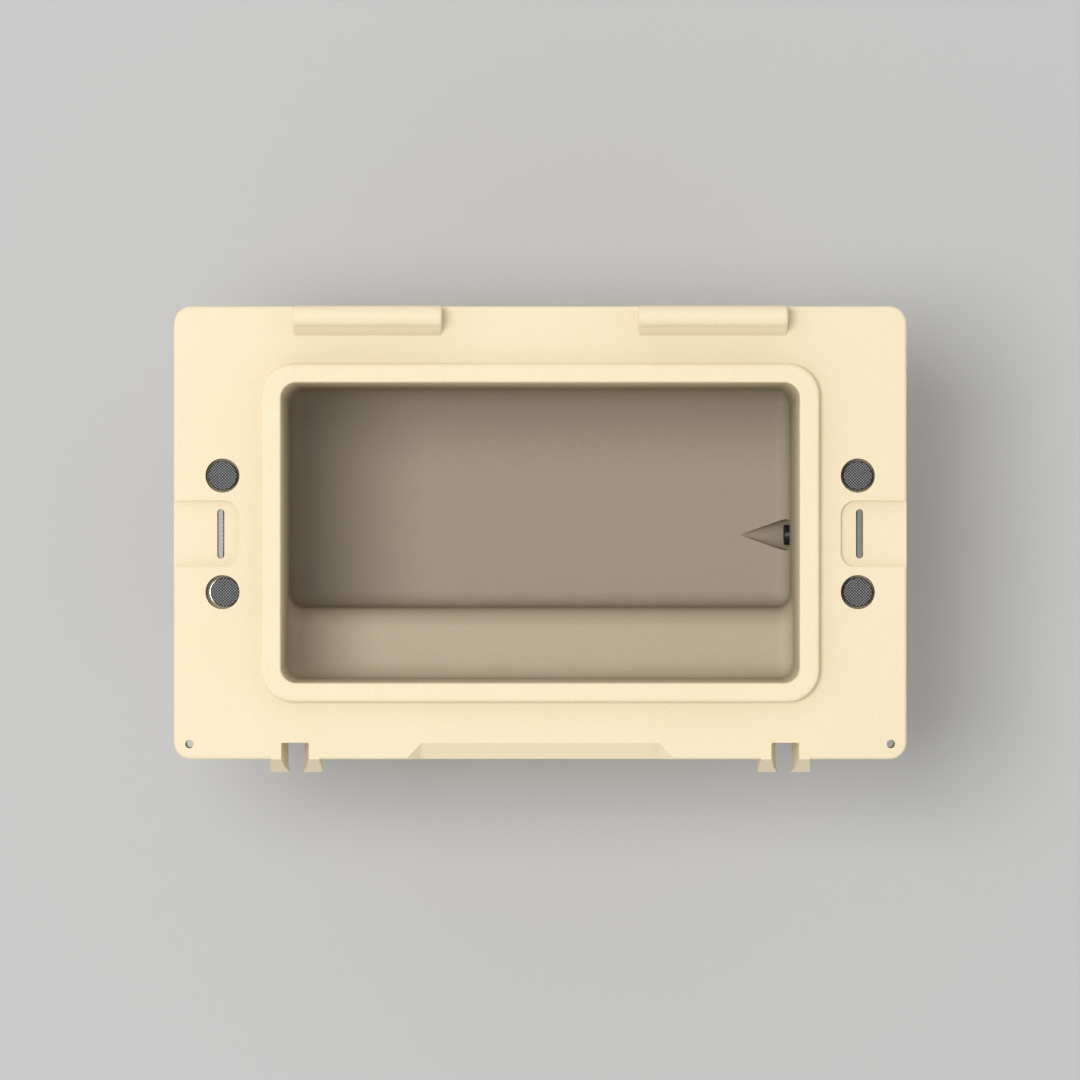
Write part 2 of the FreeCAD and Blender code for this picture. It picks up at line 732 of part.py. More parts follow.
def filling_plug(row):
    """Plug pressed into a filling hole after foaming."""
    y = row * PLUG_Y
    head = rod(PLUG_R, Vector(0, y, FOOT_STAND), Vector(0, 0, 1), PLUG_HEAD_THICKNESS - PLUG_GAP)
    stem_top = PLUG_HEAD_THICKNESS + SKIN - PLUG_GAP
    stem = rod(PLUG_STEM_R, Vector(0, y, FOOT_STAND), Vector(0, 0, 1), stem_top)
    return fuse_all([head, stem])


def rope_stop(name, side, row):
    """Round stop that a rope's end is set in, lying in the wide part of its hole."""
    x, y = rope_place(side, row)
    foot = STOP_FOOT_Z
    height = DECK_HEIGHT - STOP_TOP_BELOW_DECK - foot
    shifted = x - side * STOP_OFFSETS[name]
    button = rod(STOP_R, Vector(shifted, y, foot), Vector(0, 0, 1), height)
    button = rounded_at(button, STOP_EDGE_R, at_height(foot + height))
    socket = rod(ROPE_R + GRIP_BORE_GAP, Vector(x, y, foot - 1), Vector(0, 0, 1), STOP_SOCKET_DEPTH + 1)
    return button.cut(socket)


def stop_washer(side, row):
    """Steel washer that spreads a rope's pull over the step in its hole."""
    x, y = rope_place(side, row)
    disc = rod(WASHER_R, Vector(x, y, ROPE_SEAT_Z), Vector(0, 0, 1), WASHER_THICKNESS)
    return disc.cut(rod(ROPE_R + ROPE_HOLE_GAP, Vector(x, y, ROPE_SEAT_Z - 1), Vector(0, 0, 1), PAST))


def rope_ends(side):
    """The two lengths of rope inside the deck, from each stop down to the deck's underside."""
    length = STOP_FOOT_Z + STOP_SOCKET_DEPTH - GRIP_BORE_GAP - FLANGE_UNDER
    ends = []
    for row in (-1, 1):
        x, y = rope_place(side, row)
        ends.append(rod(ROPE_R, Vector(x, y, FLANGE_UNDER), Vector(0, 0, 1), length))
    return Part.makeCompound(ends)


def rope_route(side):
    """Points of the hanging loop, from one pivot round to the other."""
    x, rear_y = rope_place(side, 1)
    half = ROPE_PITCH / 2
    bottom = ROPE_PIVOT_Z - ROPE_LOOP_DROP
    right = [
        Vector(x, half, ROPE_PIVOT_Z),
        Vector(x, half + ROPE_BULGE, ROPE_PIVOT_Z - ROPE_LEG),
        Vector(x, half, ROPE_PIVOT_Z - 2 * ROPE_LEG),
        Vector(x, ROPE_LOOP_FLAT / 2, bottom),
    ]
    left = [Vector(p.x, -p.y, p.z) for p in reversed(right)]
    shift = Vector(0, rear_y - half, 0)
    return [p + shift for p in right + left]


def bend_radii(points):
    """Radius of the arc at each inner point: as large as its two runs allow."""
    radii = [0]
    for before, here, after in zip(points, points[1:], points[2:]):
        turn = (here - before).getAngle(after - here)
        shorter = min((here - before).Length, (after - here).Length)
        radii.append(0.45 * shorter / math.tan(turn / 2))
    return radii + [0]


def tube(points, radii, radius):
    """Round tube along straight runs and their arcs, and the path that it follows."""
    path = rounded_wire(points, radii, False)
    start = points[0]
    ring = Part.Wire(Part.makeCircle(radius, start, points[1] - start))
    return path.makePipeShell([ring], True, True), path


def rope_loop(name, side):
    """The hanging loop of rope, with a dome at each end that turns in the mouth of its hole."""
    points = rope_route(side)
    radii = bend_radii(points)
    loop, path = tube(points, radii, ROPE_R)
    section = math.pi * ROPE_R**2
    bends = ", ".join(f"{radius:.1f}" for radius in radii[1:-1])
    print(f"{name}: bend radii {bends} mm, length {path.Length:.1f} mm")
    print(f"{name}: volume {loop.Volume:.0f} mm3, section times length {section * path.Length:.0f} mm3")
    domes = [Part.makeSphere(ROPE_R, point) for point in (points[0], points[-1])]
    return fuse_all([loop] + domes)


def grip(side):
    """Moulded hand grip around the bottom of the loop."""
    points = rope_route(side)
    radii = bend_radii(points)
    share = GRIP_END_SHARE
    first = points[2] + (points[3] - points[2]) * share
    last = points[5] + (points[4] - points[5]) * share
    bend = [first, points[3], points[4], last]
    middle_radii = [0, radii[3], radii[4], 0]
    sleeve, _ = tube(bend, middle_radii, GRIP_R)
    ends = [edge for edge in sleeve.Edges if on_grip_end(edge, first, last)]
    sleeve = sleeve.makeFillet(GRIP_END_R, ends)
    bore, _ = tube(points, radii, ROPE_R + GRIP_BORE_GAP)
    return sleeve.cut(bore)


def on_grip_end(edge, first, last):
    """Is this edge the rim of one of the sleeve's two flat ends?"""
    middle = edge.CenterOfMass
    return min((middle - first).Length, (middle - last).Length) < TINY + GRIP_R / 2


def drain_gasket():
    """Flat gasket between the drain's flange and its seat."""
    disc = along_drain(DRAIN_GASKET_R, drain_seat_x(), DRAIN_GASKET_THICKNESS)
    hole = along_drain(SPOUT_TUBE_R + SPOUT_HOLE_GAP, drain_seat_x() - 1, PAST)
    return cut_all(disc, [hole] + [clear_hole(i) for i in range(DRAIN_SCREW_COUNT)])


def clear_hole(i):
    """Clearance hole for one drain screw through the gasket and the flange."""
    y, z = screw_spot(i)
    start = Vector(drain_seat_x() - 1, y, z)
    return rod(DRAIN_SCREW_R + DRAIN_SCREW_GAP, start, Vector(1, 0, 0), PAST)


def spout_flange_x():
    """x of the drain flange's inner face."""
    return drain_seat_x() + DRAIN_GASKET_THICKNESS


def drain_spout():
    """Drain fitting: a tube through the wall, a screwed flange and a neck with a hose thread."""
    flange_x = spout_flange_x()
    start_x = MOUTH_WIDTH / 2 - SPOUT_PROUD
    through = along_drain(SPOUT_TUBE_R, start_x, flange_x - start_x + 1)
    flange = along_drain(SPOUT_FLANGE_R, flange_x, SPOUT_FLANGE_THICKNESS)
    neck = along_drain(SPOUT_NECK_R, flange_x, SPOUT_FLANGE_THICKNESS + SPOUT_NECK_LENGTH)
    bore = along_drain(SPOUT_BORE_R, start_x - 1, 4 * PAST)
    spout = fuse_all([through, flange, neck])
    return cut_all(spout, [bore] + [clear_hole(i) for i in range(DRAIN_SCREW_COUNT)])


def drain_screws():
    """Self-tapping screws that hold the drain's flange."""
    screws = []
    for i in range(DRAIN_SCREW_COUNT):
        y, z = screw_spot(i)
        head_x = spout_flange_x() + SPOUT_FLANGE_THICKNESS
        shank_start = Vector(head_x - DRAIN_SCREW_LENGTH, y, z)
        shank = rod(DRAIN_SCREW_R, shank_start, Vector(1, 0, 0), DRAIN_SCREW_LENGTH + 1)
        head = rod(DRAIN_SCREW_HEAD_R, Vector(head_x, y, z), Vector(1, 0, 0), DRAIN_SCREW_HEAD_HEIGHT)
        screws.append(fuse_all([shank, head]))
    return Part.makeCompound(screws)


def neck_end_x():
    """x of the open end of the drain's neck."""
    return spout_flange_x() + SPOUT_FLANGE_THICKNESS + SPOUT_NECK_LENGTH


def cap_washer():
    """Flat washer inside the drain cap, pressed on the end of the neck."""
    inner_r = SPOUT_BORE_R + CAP_WASHER_GAP
    disc = along_drain(SPOUT_NECK_R, neck_end_x() + TINY, CAP_WASHER_THICKNESS)
    return disc.cut(along_drain(inner_r, neck_end_x() - 1, PAST))


def drain_cap():
    """Cap that screws over the drain's neck."""
    roof_x = neck_end_x() + 2 * TINY + CAP_WASHER_THICKNESS
    length = SPOUT_NECK_LENGTH - CAP_FOOT_GAP - DRAIN_SCREW_HEAD_HEIGHT + CAP_WASHER_THICKNESS + CAP_ROOF
    cup = along_drain(CAP_R, roof_x + CAP_ROOF - length, length)
    cup = rounded_at(cup, CAP_EDGE_R, lambda spot: abs(spot.x - roof_x - CAP_ROOF) < TINY)
    return cup.cut(along_drain(SPOUT_NECK_R + CAP_BORE_GAP, roof_x - length, length))


def foot(spot):
    """Rubber foot in its pocket, with a sunk seat for its screw."""
    x, y = spot
    height = FOOT_STAND + FOOT_POCKET_DEPTH
    pad = rod(FOOT_R, Vector(x, y, 0), Vector(0, 0, 1), height)
    pad = rounded_at(pad, FOOT_EDGE_R, at_height(0.0))
    seat_start = Vector(x, y, -1)
    seat = rod(FOOT_SCREW_HEAD_R + FOOT_SCREW_GAP, seat_start, Vector(0, 0, 1), FOOT_SCREW_SEAT_DEPTH + 1)
    hole = rod(FOOT_SCREW_R + FOOT_SCREW_GAP, Vector(x, y, 0), Vector(0, 0, 1), height + 1)
    return cut_all(pad, [seat, hole])


def foot_screws():
    """Screws that hold the feet."""
    screws = []
    for x, y in corner_spots().values():
        head_z = FOOT_SCREW_SEAT_DEPTH - FOOT_SCREW_HEAD_HEIGHT
        head = rod(FOOT_SCREW_HEAD_R, Vector(x, y, head_z), Vector(0, 0, 1), FOOT_SCREW_HEAD_HEIGHT)
        shank = rod(FOOT_SCREW_R, Vector(x, y, head_z + 1), Vector(0, 0, 1), FOOT_SCREW_LENGTH)
        screws.append(fuse_all([head, shank]))
    return Part.makeCompound(screws)


def foot_inserts():
    """Threaded brass inserts moulded into the shell above the feet."""
    inserts = []
    for x, y in corner_spots().values():
        seat = FOOT_STAND + FOOT_POCKET_DEPTH
        sleeve = rod(INSERT_R - TINY, Vector(x, y, seat), Vector(0, 0, 1), INSERT_LENGTH - TINY)
        inserts.append(sleeve.cut(rod(FOOT_SCREW_R + TINY, Vector(x, y, seat - 1), Vector(0, 0, 1), PAST)))
    return Part.makeCompound(inserts)


def all_pieces():
    """Every piece of the object by node name."""
    pieces = {
        "body_shell": body_shell(),
        "foam_core": foam_core(),
        "foam_plug_front": filling_plug(-1),
        "foam_plug_rear": filling_plug(1),
        "drain_gasket": drain_gasket(),
        "drain_spout": drain_spout(),
        "drain_screws": drain_screws(),
        "drain_cap_washer": cap_washer(),
        "drain_cap": drain_cap(),
        "foot_screws": foot_screws(),
        "foot_inserts": foot_inserts(),
    }
    for side, side_name in ((-1, "left"), (1, "right")):
        pieces[f"rope_ends_{side_name}"] = rope_ends(side)
        pieces[f"rope_loop_{side_name}"] = rope_loop(f"rope_loop_{side_name}", side)
        pieces[f"grip_{side_name}"] = grip(side)
        for row, row_name in ((-1, "front"), (1, "rear")):
            corner = f"{row_name}_{side_name}"
            pieces[f"rope_stop_{corner}"] = rope_stop(corner, side, row)
            pieces[f"rope_washer_{corner}"] = stop_washer(side, row)
    for corner, spot in corner_spots().items():
        pieces[f"foot_{corner}"] = foot(spot)
    return pieces


os.makedirs("parts", exist_ok=True)
for node, shape in all_pieces().items():
    shape.translate(PLAN_SHIFT)
    shape.exportStep(f"parts/{node}.step")
    print(f"{node}: {len(shape.Solids)} solid(s), {shape.Volume / 1000:.1f} cm3, valid {shape.isValid()}")
print(f"drain cap travel per radian {THREAD_PITCH / 2 / math.pi:.5f} mm, {THREAD_TURNS} turns")
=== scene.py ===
"""Base of a rotomoulded ice chest, standing open on a pale studio floor.

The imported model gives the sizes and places. This script gives its pieces their finished shapes and
surfaces: the grained polyethylene shell, braided rope handles with ribbed grips, knurled rope stops,
the drain with its threaded neck and cap, and the feet, screws and filling plugs underneath.
"""

import logging
import math
from dataclasses import dataclass, field
from enum import Enum

import bmesh
import bpy
from mathutils import Matrix, Vector


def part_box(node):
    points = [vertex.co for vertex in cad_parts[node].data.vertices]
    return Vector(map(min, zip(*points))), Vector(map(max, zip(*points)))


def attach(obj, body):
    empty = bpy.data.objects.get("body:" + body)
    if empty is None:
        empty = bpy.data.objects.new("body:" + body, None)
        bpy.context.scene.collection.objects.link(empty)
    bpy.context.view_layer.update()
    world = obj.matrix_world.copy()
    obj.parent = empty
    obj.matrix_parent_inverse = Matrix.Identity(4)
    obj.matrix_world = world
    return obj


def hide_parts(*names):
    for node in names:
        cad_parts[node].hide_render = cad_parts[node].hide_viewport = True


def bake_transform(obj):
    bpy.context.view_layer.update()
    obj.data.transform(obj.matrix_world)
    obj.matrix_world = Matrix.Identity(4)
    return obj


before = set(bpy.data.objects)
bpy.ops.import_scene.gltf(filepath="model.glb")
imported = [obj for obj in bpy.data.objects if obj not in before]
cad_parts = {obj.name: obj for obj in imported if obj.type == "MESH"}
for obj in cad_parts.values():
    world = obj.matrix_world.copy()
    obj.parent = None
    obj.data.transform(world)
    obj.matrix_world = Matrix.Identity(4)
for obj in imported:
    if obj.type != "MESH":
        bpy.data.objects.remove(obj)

LOG = logging.getLogger("ice_chest")
MM = 0.001
MERGE_GAP = 0.002 * MM
X_AXIS = Vector((1, 0, 0))
Z_AXIS = Vector((0, 0, 1))


class Side(Enum):
    """The end of the chest that a piece is on."""

    LEFT = -1
    RIGHT = 1


class Row(Enum):
    """The half of the chest that a piece is in."""

    FRONT = -1
    REAR = 1


# ---------------------------------------------------------------- small helpers


def linear(hex_colour: str) -> tuple[float, float, float, float]:
    """Turns an sRGB colour into the linear one that shaders take.

    Args:
        hex_colour: Six hex digits, such as "F2E0BC".

    Returns:
        Linear red, green, blue and an alpha of 1.
    """
    values = [int(hex_colour[i : i + 2], 16) / 255 for i in (0, 2, 4)]
    return tuple(v / 12.92 if v <= 0.04045 else ((v + 0.055) / 1.055) ** 2.4 for v in values) + (1.0,)


def add_node(
    tree: bpy.types.NodeTree, kind: str, settings: dict | None = None, links: dict | None = None
) -> bpy.types.Node:
    """Adds one node with its settings and its incoming links.

    Args:
        tree: The node tree that it joins.
        kind: The node's type name.
        settings: Property names, or input names or numbers, with their values.
        links: Input names or numbers, with the output sockets that feed them.

    Returns:
        The new node.
    """
    node = tree.nodes.new(kind)
    for key, value in (settings or {}).items():
        if isinstance(key, str) and hasattr(node, key):
            setattr(node, key, value)
        else:
            node.inputs[key].default_value = value
    for key, socket in (links or {}).items():
        tree.links.new(socket, node.inputs[key])
    return node


def object_from(name: str, bm: bmesh.types.BMesh, smooth_below: float = 35.0) -> bpy.types.Object:
    """Makes an object at the origin from a bmesh, smooth except at its sharp edges.

    Args:
        name: The object's name.
        bm: The bmesh, which is freed.
        smooth_below: Edges that turn by less than this many degrees are shaded smooth.

    Returns:
        The object, linked to the scene.
    """
    for face in bm.faces:
        face.smooth = True
    for edge in bm.edges:
        turned = len(edge.link_faces) == 2 and edge.calc_face_angle(0.0) > math.radians(smooth_below)
        edge.smooth = not turned
    mesh = bpy.data.meshes.new(name)
    bm.to_mesh(mesh)
    bm.free()
    made = bpy.data.objects.new(name, mesh)
    bpy.context.scene.collection.objects.link(made)
    return made


def even_shading(piece: bpy.types.Object) -> None:
    """Lets large flat faces keep their own normals beside small rounded ones.

    Args:
        piece: The piece, which gains a modifier.
    """
    weighted = piece.modifiers.new("even_shading", "WEIGHTED_NORMAL")
    weighted.mode = "FACE_AREA"
    weighted.weight = 100
    weighted.keep_sharp = True


def refined(node: str, name: str, smooth_below: float = 32.0) -> bpy.types.Object:
    """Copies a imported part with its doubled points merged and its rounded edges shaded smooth.

    Args:
        node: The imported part.
        name: The new piece's name.
        smooth_below: Edges that turn by less than this many degrees are shaded smooth.

    Returns:
        The new piece, which stands for the part.
    """
    bm = bmesh.new()
    bm.from_mesh(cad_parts[node].data)
    bmesh.ops.remove_doubles(bm, verts=bm.verts, dist=MERGE_GAP)
    piece = object_from(name, bm, smooth_below)
    even_shading(piece)
    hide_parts(node)
    return piece


def placed(origin: Vector, axis: Vector) -> Matrix:
    """Gives the transform that sets a piece's own Z axis along a direction.

    Args:
        origin: Where the piece's own origin goes.
        axis: The direction.

    Returns:
        The transform.
    """
    return Matrix.Translation(origin) @ axis.to_track_quat("Z", "Y").to_matrix().to_4x4()


def turned(
    name: str,
    outline: list[tuple[float, float]],
    origin: Vector,
    axis: Vector,
    steps: int = 64,
    smooth_below: float = 35.0,
) -> bpy.types.Object:
    """Turns a closed outline round an axis, as on a lathe.

    Args:
        name: The piece's name.
        outline: Closed outline as (radius, height along the axis) in metres.
        origin: Where height 0 lies on the axis.
        axis: Direction of the axis.
        steps: How many faces go round.
        smooth_below: Edges that turn by less than this many degrees are shaded smooth.

    Returns:
        The turned piece.
    """
    bm = bmesh.new()
    corners = [bm.verts.new((radius, 0.0, height)) for radius, height in outline]
    loop = [bm.edges.new((a, b)) for a, b in zip(corners, corners[1:] + corners[:1])]
    bmesh.ops.spin(
        bm,
        geom=corners + loop,
        cent=(0, 0, 0),
        axis=(0, 0, 1),
        angle=2 * math.pi,
        steps=steps,
        use_merge=True,
    )
    bmesh.ops.remove_doubles(bm, verts=bm.verts, dist=MERGE_GAP)
    bmesh.ops.recalc_face_normals(bm, faces=bm.faces)
    bmesh.ops.transform(bm, matrix=placed(origin, axis), verts=bm.verts)
    return object_from(name, bm, smooth_below)


def dress(piece: bpy.types.Object, material: bpy.types.Material, body: str) -> None:
    """Gives a piece its finish and the body that it moves with.

    Args:
        piece: The piece.
        material: Its finish.
        body: The body that it moves with.
    """
    piece.data.materials.clear()
    piece.data.materials.append(material)
    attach(piece, body)
    LOG.info("%s: %d faces", piece.name, len(piece.data.polygons))


# ---------------------------------------------------------------- finishes


@dataclass(frozen=True)
class Finish:
    """A surface: what it is made of, its colour and how it answers light."""

    name: str
    colour: str
    roughness: float

    def start(self) -> tuple[bpy.types.Material, bpy.types.NodeTree, bpy.types.Node, bpy.types.Node]:
        """Starts the material.

        Returns:
            The material, its tree, its surface shader and its coordinate node.
        """
        material = bpy.data.materials.new(self.name)
        material.use_nodes = True
        tree = material.node_tree
        tree.nodes.clear()
        shader = add_node(tree, "ShaderNodeBsdfPrincipled", {"Roughness": self.roughness, "IOR": 1.5})
        add_node(tree, "ShaderNodeOutputMaterial", links={"Surface": shader.outputs["BSDF"]})
        where = add_node(tree, "ShaderNodeTexCoord")
        return material, tree, shader, where

    def mottle(
        self, tree: bpy.types.NodeTree, where: bpy.types.NodeSocket, size_mm: float, light: str, dark: str
    ) -> bpy.types.NodeSocket:
        """Colour that drifts between two shades over patches of a given size.

        Args:
            tree: The material's tree.
            where: Coordinates in metres.
            size_mm: Width of a patch.
            light: The lighter shade.
            dark: The darker shade.

        Returns:
            The colour socket.
        """
        patches = add_node(
            tree, "ShaderNodeTexNoise", {"Scale": 1 / (size_mm * MM), "Detail": 3.0}, {"Vector": where}
        )
        ramp = add_node(
            tree,
            "ShaderNodeMix",
            {"data_type": "RGBA", 6: linear(dark), 7: linear(light)},
            {0: patches.outputs["Fac"]},
        )
        return ramp.outputs[2]

    def grained(
        self,
        tree: bpy.types.NodeTree,
        shader: bpy.types.Node,
        where: bpy.types.NodeSocket,
        size_mm: float,
        height_mm: float,
        strength: float = 0.5,
        detail: float = 2.0,
    ) -> bpy.types.NodeSocket:
        """Raises a fine grain on the surface.

        Args:
            tree: The material's tree.
            shader: The surface shader.
            where: Coordinates in metres.
            size_mm: Width of a grain.
            height_mm: Height of a grain.
            strength: How much of the height is felt.
            detail: How many finer layers the grain has.

        Returns:
            The grain's own pattern, from 0 to 1.
        """
        grain = add_node(
            tree, "ShaderNodeTexNoise", {"Scale": 1 / (size_mm * MM), "Detail": detail}, {"Vector": where}
        )
        bump = add_node(
            tree,
            "ShaderNodeBump",
            {"Strength": strength, "Distance": height_mm * MM},
            {"Height": grain.outputs["Fac"]},
        )
        tree.links.new(bump.outputs["Normal"], shader.inputs["Normal"])
        return grain.outputs["Fac"]


@dataclass(frozen=True)
class RotomouldedPolyethylene(Finish):
    """Linear low-density polyethylene from a sand-blasted mould: a soft, waxy, finely pebbled skin.

    Real pebbles are about 1.5 mm on flat faces and coarser on the raised rim and the knuckles. Both
    are drawn larger than that, as coarse as they need to be to show. IOR 1.51; rough, because the
    grain scatters the highlight.
    """

    patch: str = "CFC0A2"
    # Painted shade: the colour that the cavity darkens to, deepest at its floor.
    cavity_shade: str = "A09584"
    patch_mm: float = 60.0
    wave_mm: float = 71.43
    wave_height_mm: float = 0.6
    pebble_mm: float = 2.4
    coarse_pebble_mm: float = 4.0
    pebble_height_mm: float = 0.55
    # Painted shade: the least share of the colour left in the pebble hollows.
    hollow_shade: float = 0.94
    raised_from: float = 0.3365
    raised_fade: float = 3 * MM
    # Where the painted cavity shade lies: from the rim down, a small share by the lip and the rest by the
    # floor, within the mouth.
    rim_z: float = 0.343
    lip_z: float = 0.33
    floor_z: float = 0.05
    lip_share: float = 0.1
    mouth: tuple[float, float] = (0.2385, 0.1385)
    mouth_centre_y: float = 0.0065

    def material(self) -> bpy.types.Material:
        """Builds the shell's material.

        Returns:
            The material.
        """
        material, tree, shader, where = self.start()
        shader.inputs["IOR"].default_value = 1.51
        shader.inputs["Specular IOR Level"].default_value = 0.35
        place = where.outputs["Object"]
        fine = add_node(
            tree,
            "ShaderNodeTexNoise",
            {"Scale": 1 / (self.pebble_mm * MM), "Detail": 2.0, "Roughness": 0.6},
            {"Vector": place},
        )
        coarse = add_node(
            tree,
            "ShaderNodeTexNoise",
            {"Scale": 1 / (self.coarse_pebble_mm * MM), "Detail": 3.0, "Roughness": 0.55},
            {"Vector": place},
        )
        height = add_node(tree, "ShaderNodeSeparateXYZ", links={0: place})
        raised = add_node(
            tree,
            "ShaderNodeMapRange",
            {"From Min": self.raised_from, "From Max": self.raised_from + self.raised_fade},
            {"Value": height.outputs["Z"]},
        )
        grain = add_node(
            tree,
            "ShaderNodeMix",
            {"data_type": "FLOAT"},
            {0: raised.outputs[0], 2: fine.outputs["Fac"], 3: coarse.outputs["Fac"]},
        )
        waves = add_node(
            tree,
            "ShaderNodeTexNoise",
            {"Scale": 1 / (self.wave_mm * MM), "Detail": 1.0},
            {"Vector": place},
        )
        swell = add_node(
            tree,
            "ShaderNodeBump",
            {"Strength": 0.25, "Distance": self.wave_height_mm * MM},
            {"Height": waves.outputs["Fac"]},
        )
        pebbles = add_node(
            tree,
            "ShaderNodeBump",
            {"Strength": 0.55, "Distance": self.pebble_height_mm * MM},
            {"Height": grain.outputs[0], "Normal": swell.outputs["Normal"]},
        )
        tree.links.new(pebbles.outputs["Normal"], shader.inputs["Normal"])
        outside = self.mottle(tree, place, self.patch_mm, self.colour, self.patch)
        # Painted shade: the cavity's colour darkens towards its floor.
        base = self.painted_cavity_shade(tree, height, outside)
        # Painted shade for the pebble hollows: the skin darkens by up to 6 % in a speckle at the pebble
        # size.
        pebble_speckle = add_node(tree, "ShaderNodeRGBToBW", links={0: fine.outputs["Color"]})
        tint = add_node(
            tree,
            "ShaderNodeMapRange",
            {"From Min": 0.3, "From Max": 0.7, "To Min": self.hollow_shade},
            {"Value": pebble_speckle.outputs[0]},
        )
        shade = add_node(
            tree,
            "ShaderNodeMix",
            {"data_type": "RGBA", "blend_type": "MULTIPLY", 0: 1.0},
            {6: base, 7: tint.outputs[0]},
        )
        tree.links.new(shade.outputs[2], shader.inputs["Base Color"])
        return material

    def painted_cavity_shade(
        self, tree: bpy.types.NodeTree, place: bpy.types.Node, outside: bpy.types.NodeSocket
    ) -> bpy.types.NodeSocket:
        """Blends to a darker, greyer colour in the cavity, more the deeper below the rim: painted shade.

        Args:
            tree: The material's tree.
            place: The node that splits the coordinates.
            outside: Colour of the outer faces.

        Returns:
            The blended colour.
        """
        masks = []
        for axis, half, centre in (("X", self.mouth[0], 0.0), ("Y", self.mouth[1], self.mouth_centre_y)):
            masks.append(
                add_node(
                    tree,
                    "ShaderNodeMath",
                    {"operation": "COMPARE", 1: centre, 2: half},
                    {0: place.outputs[axis]},
                ).outputs[0]
            )
        within = add_node(tree, "ShaderNodeMath", {"operation": "MULTIPLY"}, {0: masks[0], 1: masks[1]})
        lip = add_node(
            tree,
            "ShaderNodeMapRange",
            {"From Min": self.rim_z, "From Max": self.lip_z, "To Max": self.lip_share},
            {"Value": place.outputs["Z"]},
        )
        below = add_node(
            tree,
            "ShaderNodeMapRange",
            {"From Min": self.lip_z, "From Max": self.floor_z, "To Max": 1 - self.lip_share},
            {"Value": place.outputs["Z"]},
        )
        depth = add_node(
            tree, "ShaderNodeMath", {"operation": "ADD"}, {0: lip.outputs[0], 1: below.outputs[0]}
        )
        share = add_node(
            tree, "ShaderNodeMath", {"operation": "MULTIPLY"}, {0: within.outputs[0], 1: depth.outputs[0]}
        )
        blend = add_node(
            tree,
            "ShaderNodeMix",
            {"data_type": "RGBA", 7: linear(self.cavity_shade)},
            {0: share.outputs[0], 6: outside},
        )
        return blend.outputs[2]


@dataclass(frozen=True)
class MouldedPlastic(Finish):
    """Injection-moulded plastic with a fine spark-eroded grain, in two close shades."""

    other: str = "000000"
    patch_mm: float = 9.0
    grain_mm: float = 0.8
    grain_height_mm: float = 0.03

    def material(self) -> bpy.types.Material:
        """Builds the moulded plastic.

        Returns:
            The material.
        """
        material, tree, shader, where = self.start()
        place = where.outputs["Object"]
        self.grained(tree, shader, place, self.grain_mm, self.grain_height_mm)
        mottled = self.mottle(tree, place, self.patch_mm, self.colour, self.other)
        tree.links.new(mottled, shader.inputs["Base Color"])
        return material


@dataclass(frozen=True)
class Rubber(Finish):
    """Moulded rubber: dull, slightly dusty, with a soft sheen at grazing angles."""

    dust: str = "2C2B29"
    patch_mm: float = 7.0
    grain_mm: float = 0.6
    grain_height_mm: float = 0.04

    def material(self) -> bpy.types.Material:
        """Builds the rubber.

        Returns:
            The material.
        """
        material, tree, shader, where = self.start()
        shader.inputs["Sheen Weight"].default_value = 0.15
        shader.inputs["Sheen Roughness"].default_value = 0.5
        place = where.outputs["Object"]
        self.grained(tree, shader, place, self.grain_mm, self.grain_height_mm, 0.4, 3.0)
        mottled = self.mottle(tree, place, self.patch_mm, self.dust, self.colour)
        tree.links.new(mottled, shader.inputs["Base Color"])
        return material


@dataclass(frozen=True)
class BraidedPolyester(Finish):
    """Spun polyester yarn: matt, with fine fibres along each strand that catch a little light."""

    highlight: str = "4A4C4E"
    fibre_mm: float = 0.35
    fibre_height_mm: float = 0.06
    fibre_stretch: float = 0.22

    def material(self) -> bpy.types.Material:
        """Builds the yarn.

        Returns:
            The material.
        """
        material, tree, shader, where = self.start()
        shader.inputs["Sheen Weight"].default_value = 0.35
        shader.inputs["Sheen Roughness"].default_value = 0.45
        place = where.outputs["Object"]
        stretched = add_node(
            tree, "ShaderNodeMapping", {"Scale": (1.0, 1.0, self.fibre_stretch)}, {"Vector": place}
        )
        fibres = self.grained(
            tree, shader, stretched.outputs[0], self.fibre_mm, self.fibre_height_mm, 0.6
        )
        yarn = add_node(
            tree,
            "ShaderNodeMix",
            {"data_type": "RGBA", 6: linear(self.colour), 7: linear(self.highlight)},
            {0: fibres},
        )
        tree.links.new(yarn.outputs[2], shader.inputs["Base Color"])
        return material


@dataclass(frozen=True)
class Metal(Finish):
    """Turned or pressed metal with fine tool marks."""

    worn: str = "8E8C88"
    patch_mm: float = 5.0
    mark_mm: float = 0.25

    def material(self) -> bpy.types.Material:
        """Builds the metal.

        Returns:
            The material.
        """
        material, tree, shader, where = self.start()
        shader.inputs["Metallic"].default_value = 1.0
        place = where.outputs["Object"]
        marks = add_node(
            tree,
            "ShaderNodeTexNoise",
            {"Scale": 1 / (self.mark_mm * MM), "Detail": 2.0},
            {"Vector": place},
        )
        rough = add_node(
            tree,
            "ShaderNodeMapRange",
            {"To Min": self.roughness - 0.08, "To Max": self.roughness + 0.10},
            {"Value": marks.outputs["Fac"]},
        )
        tree.links.new(rough.outputs[0], shader.inputs["Roughness"])
        mottled = self.mottle(tree, place, self.patch_mm, self.colour, self.worn)
        tree.links.new(mottled, shader.inputs["Base Color"])
        return material


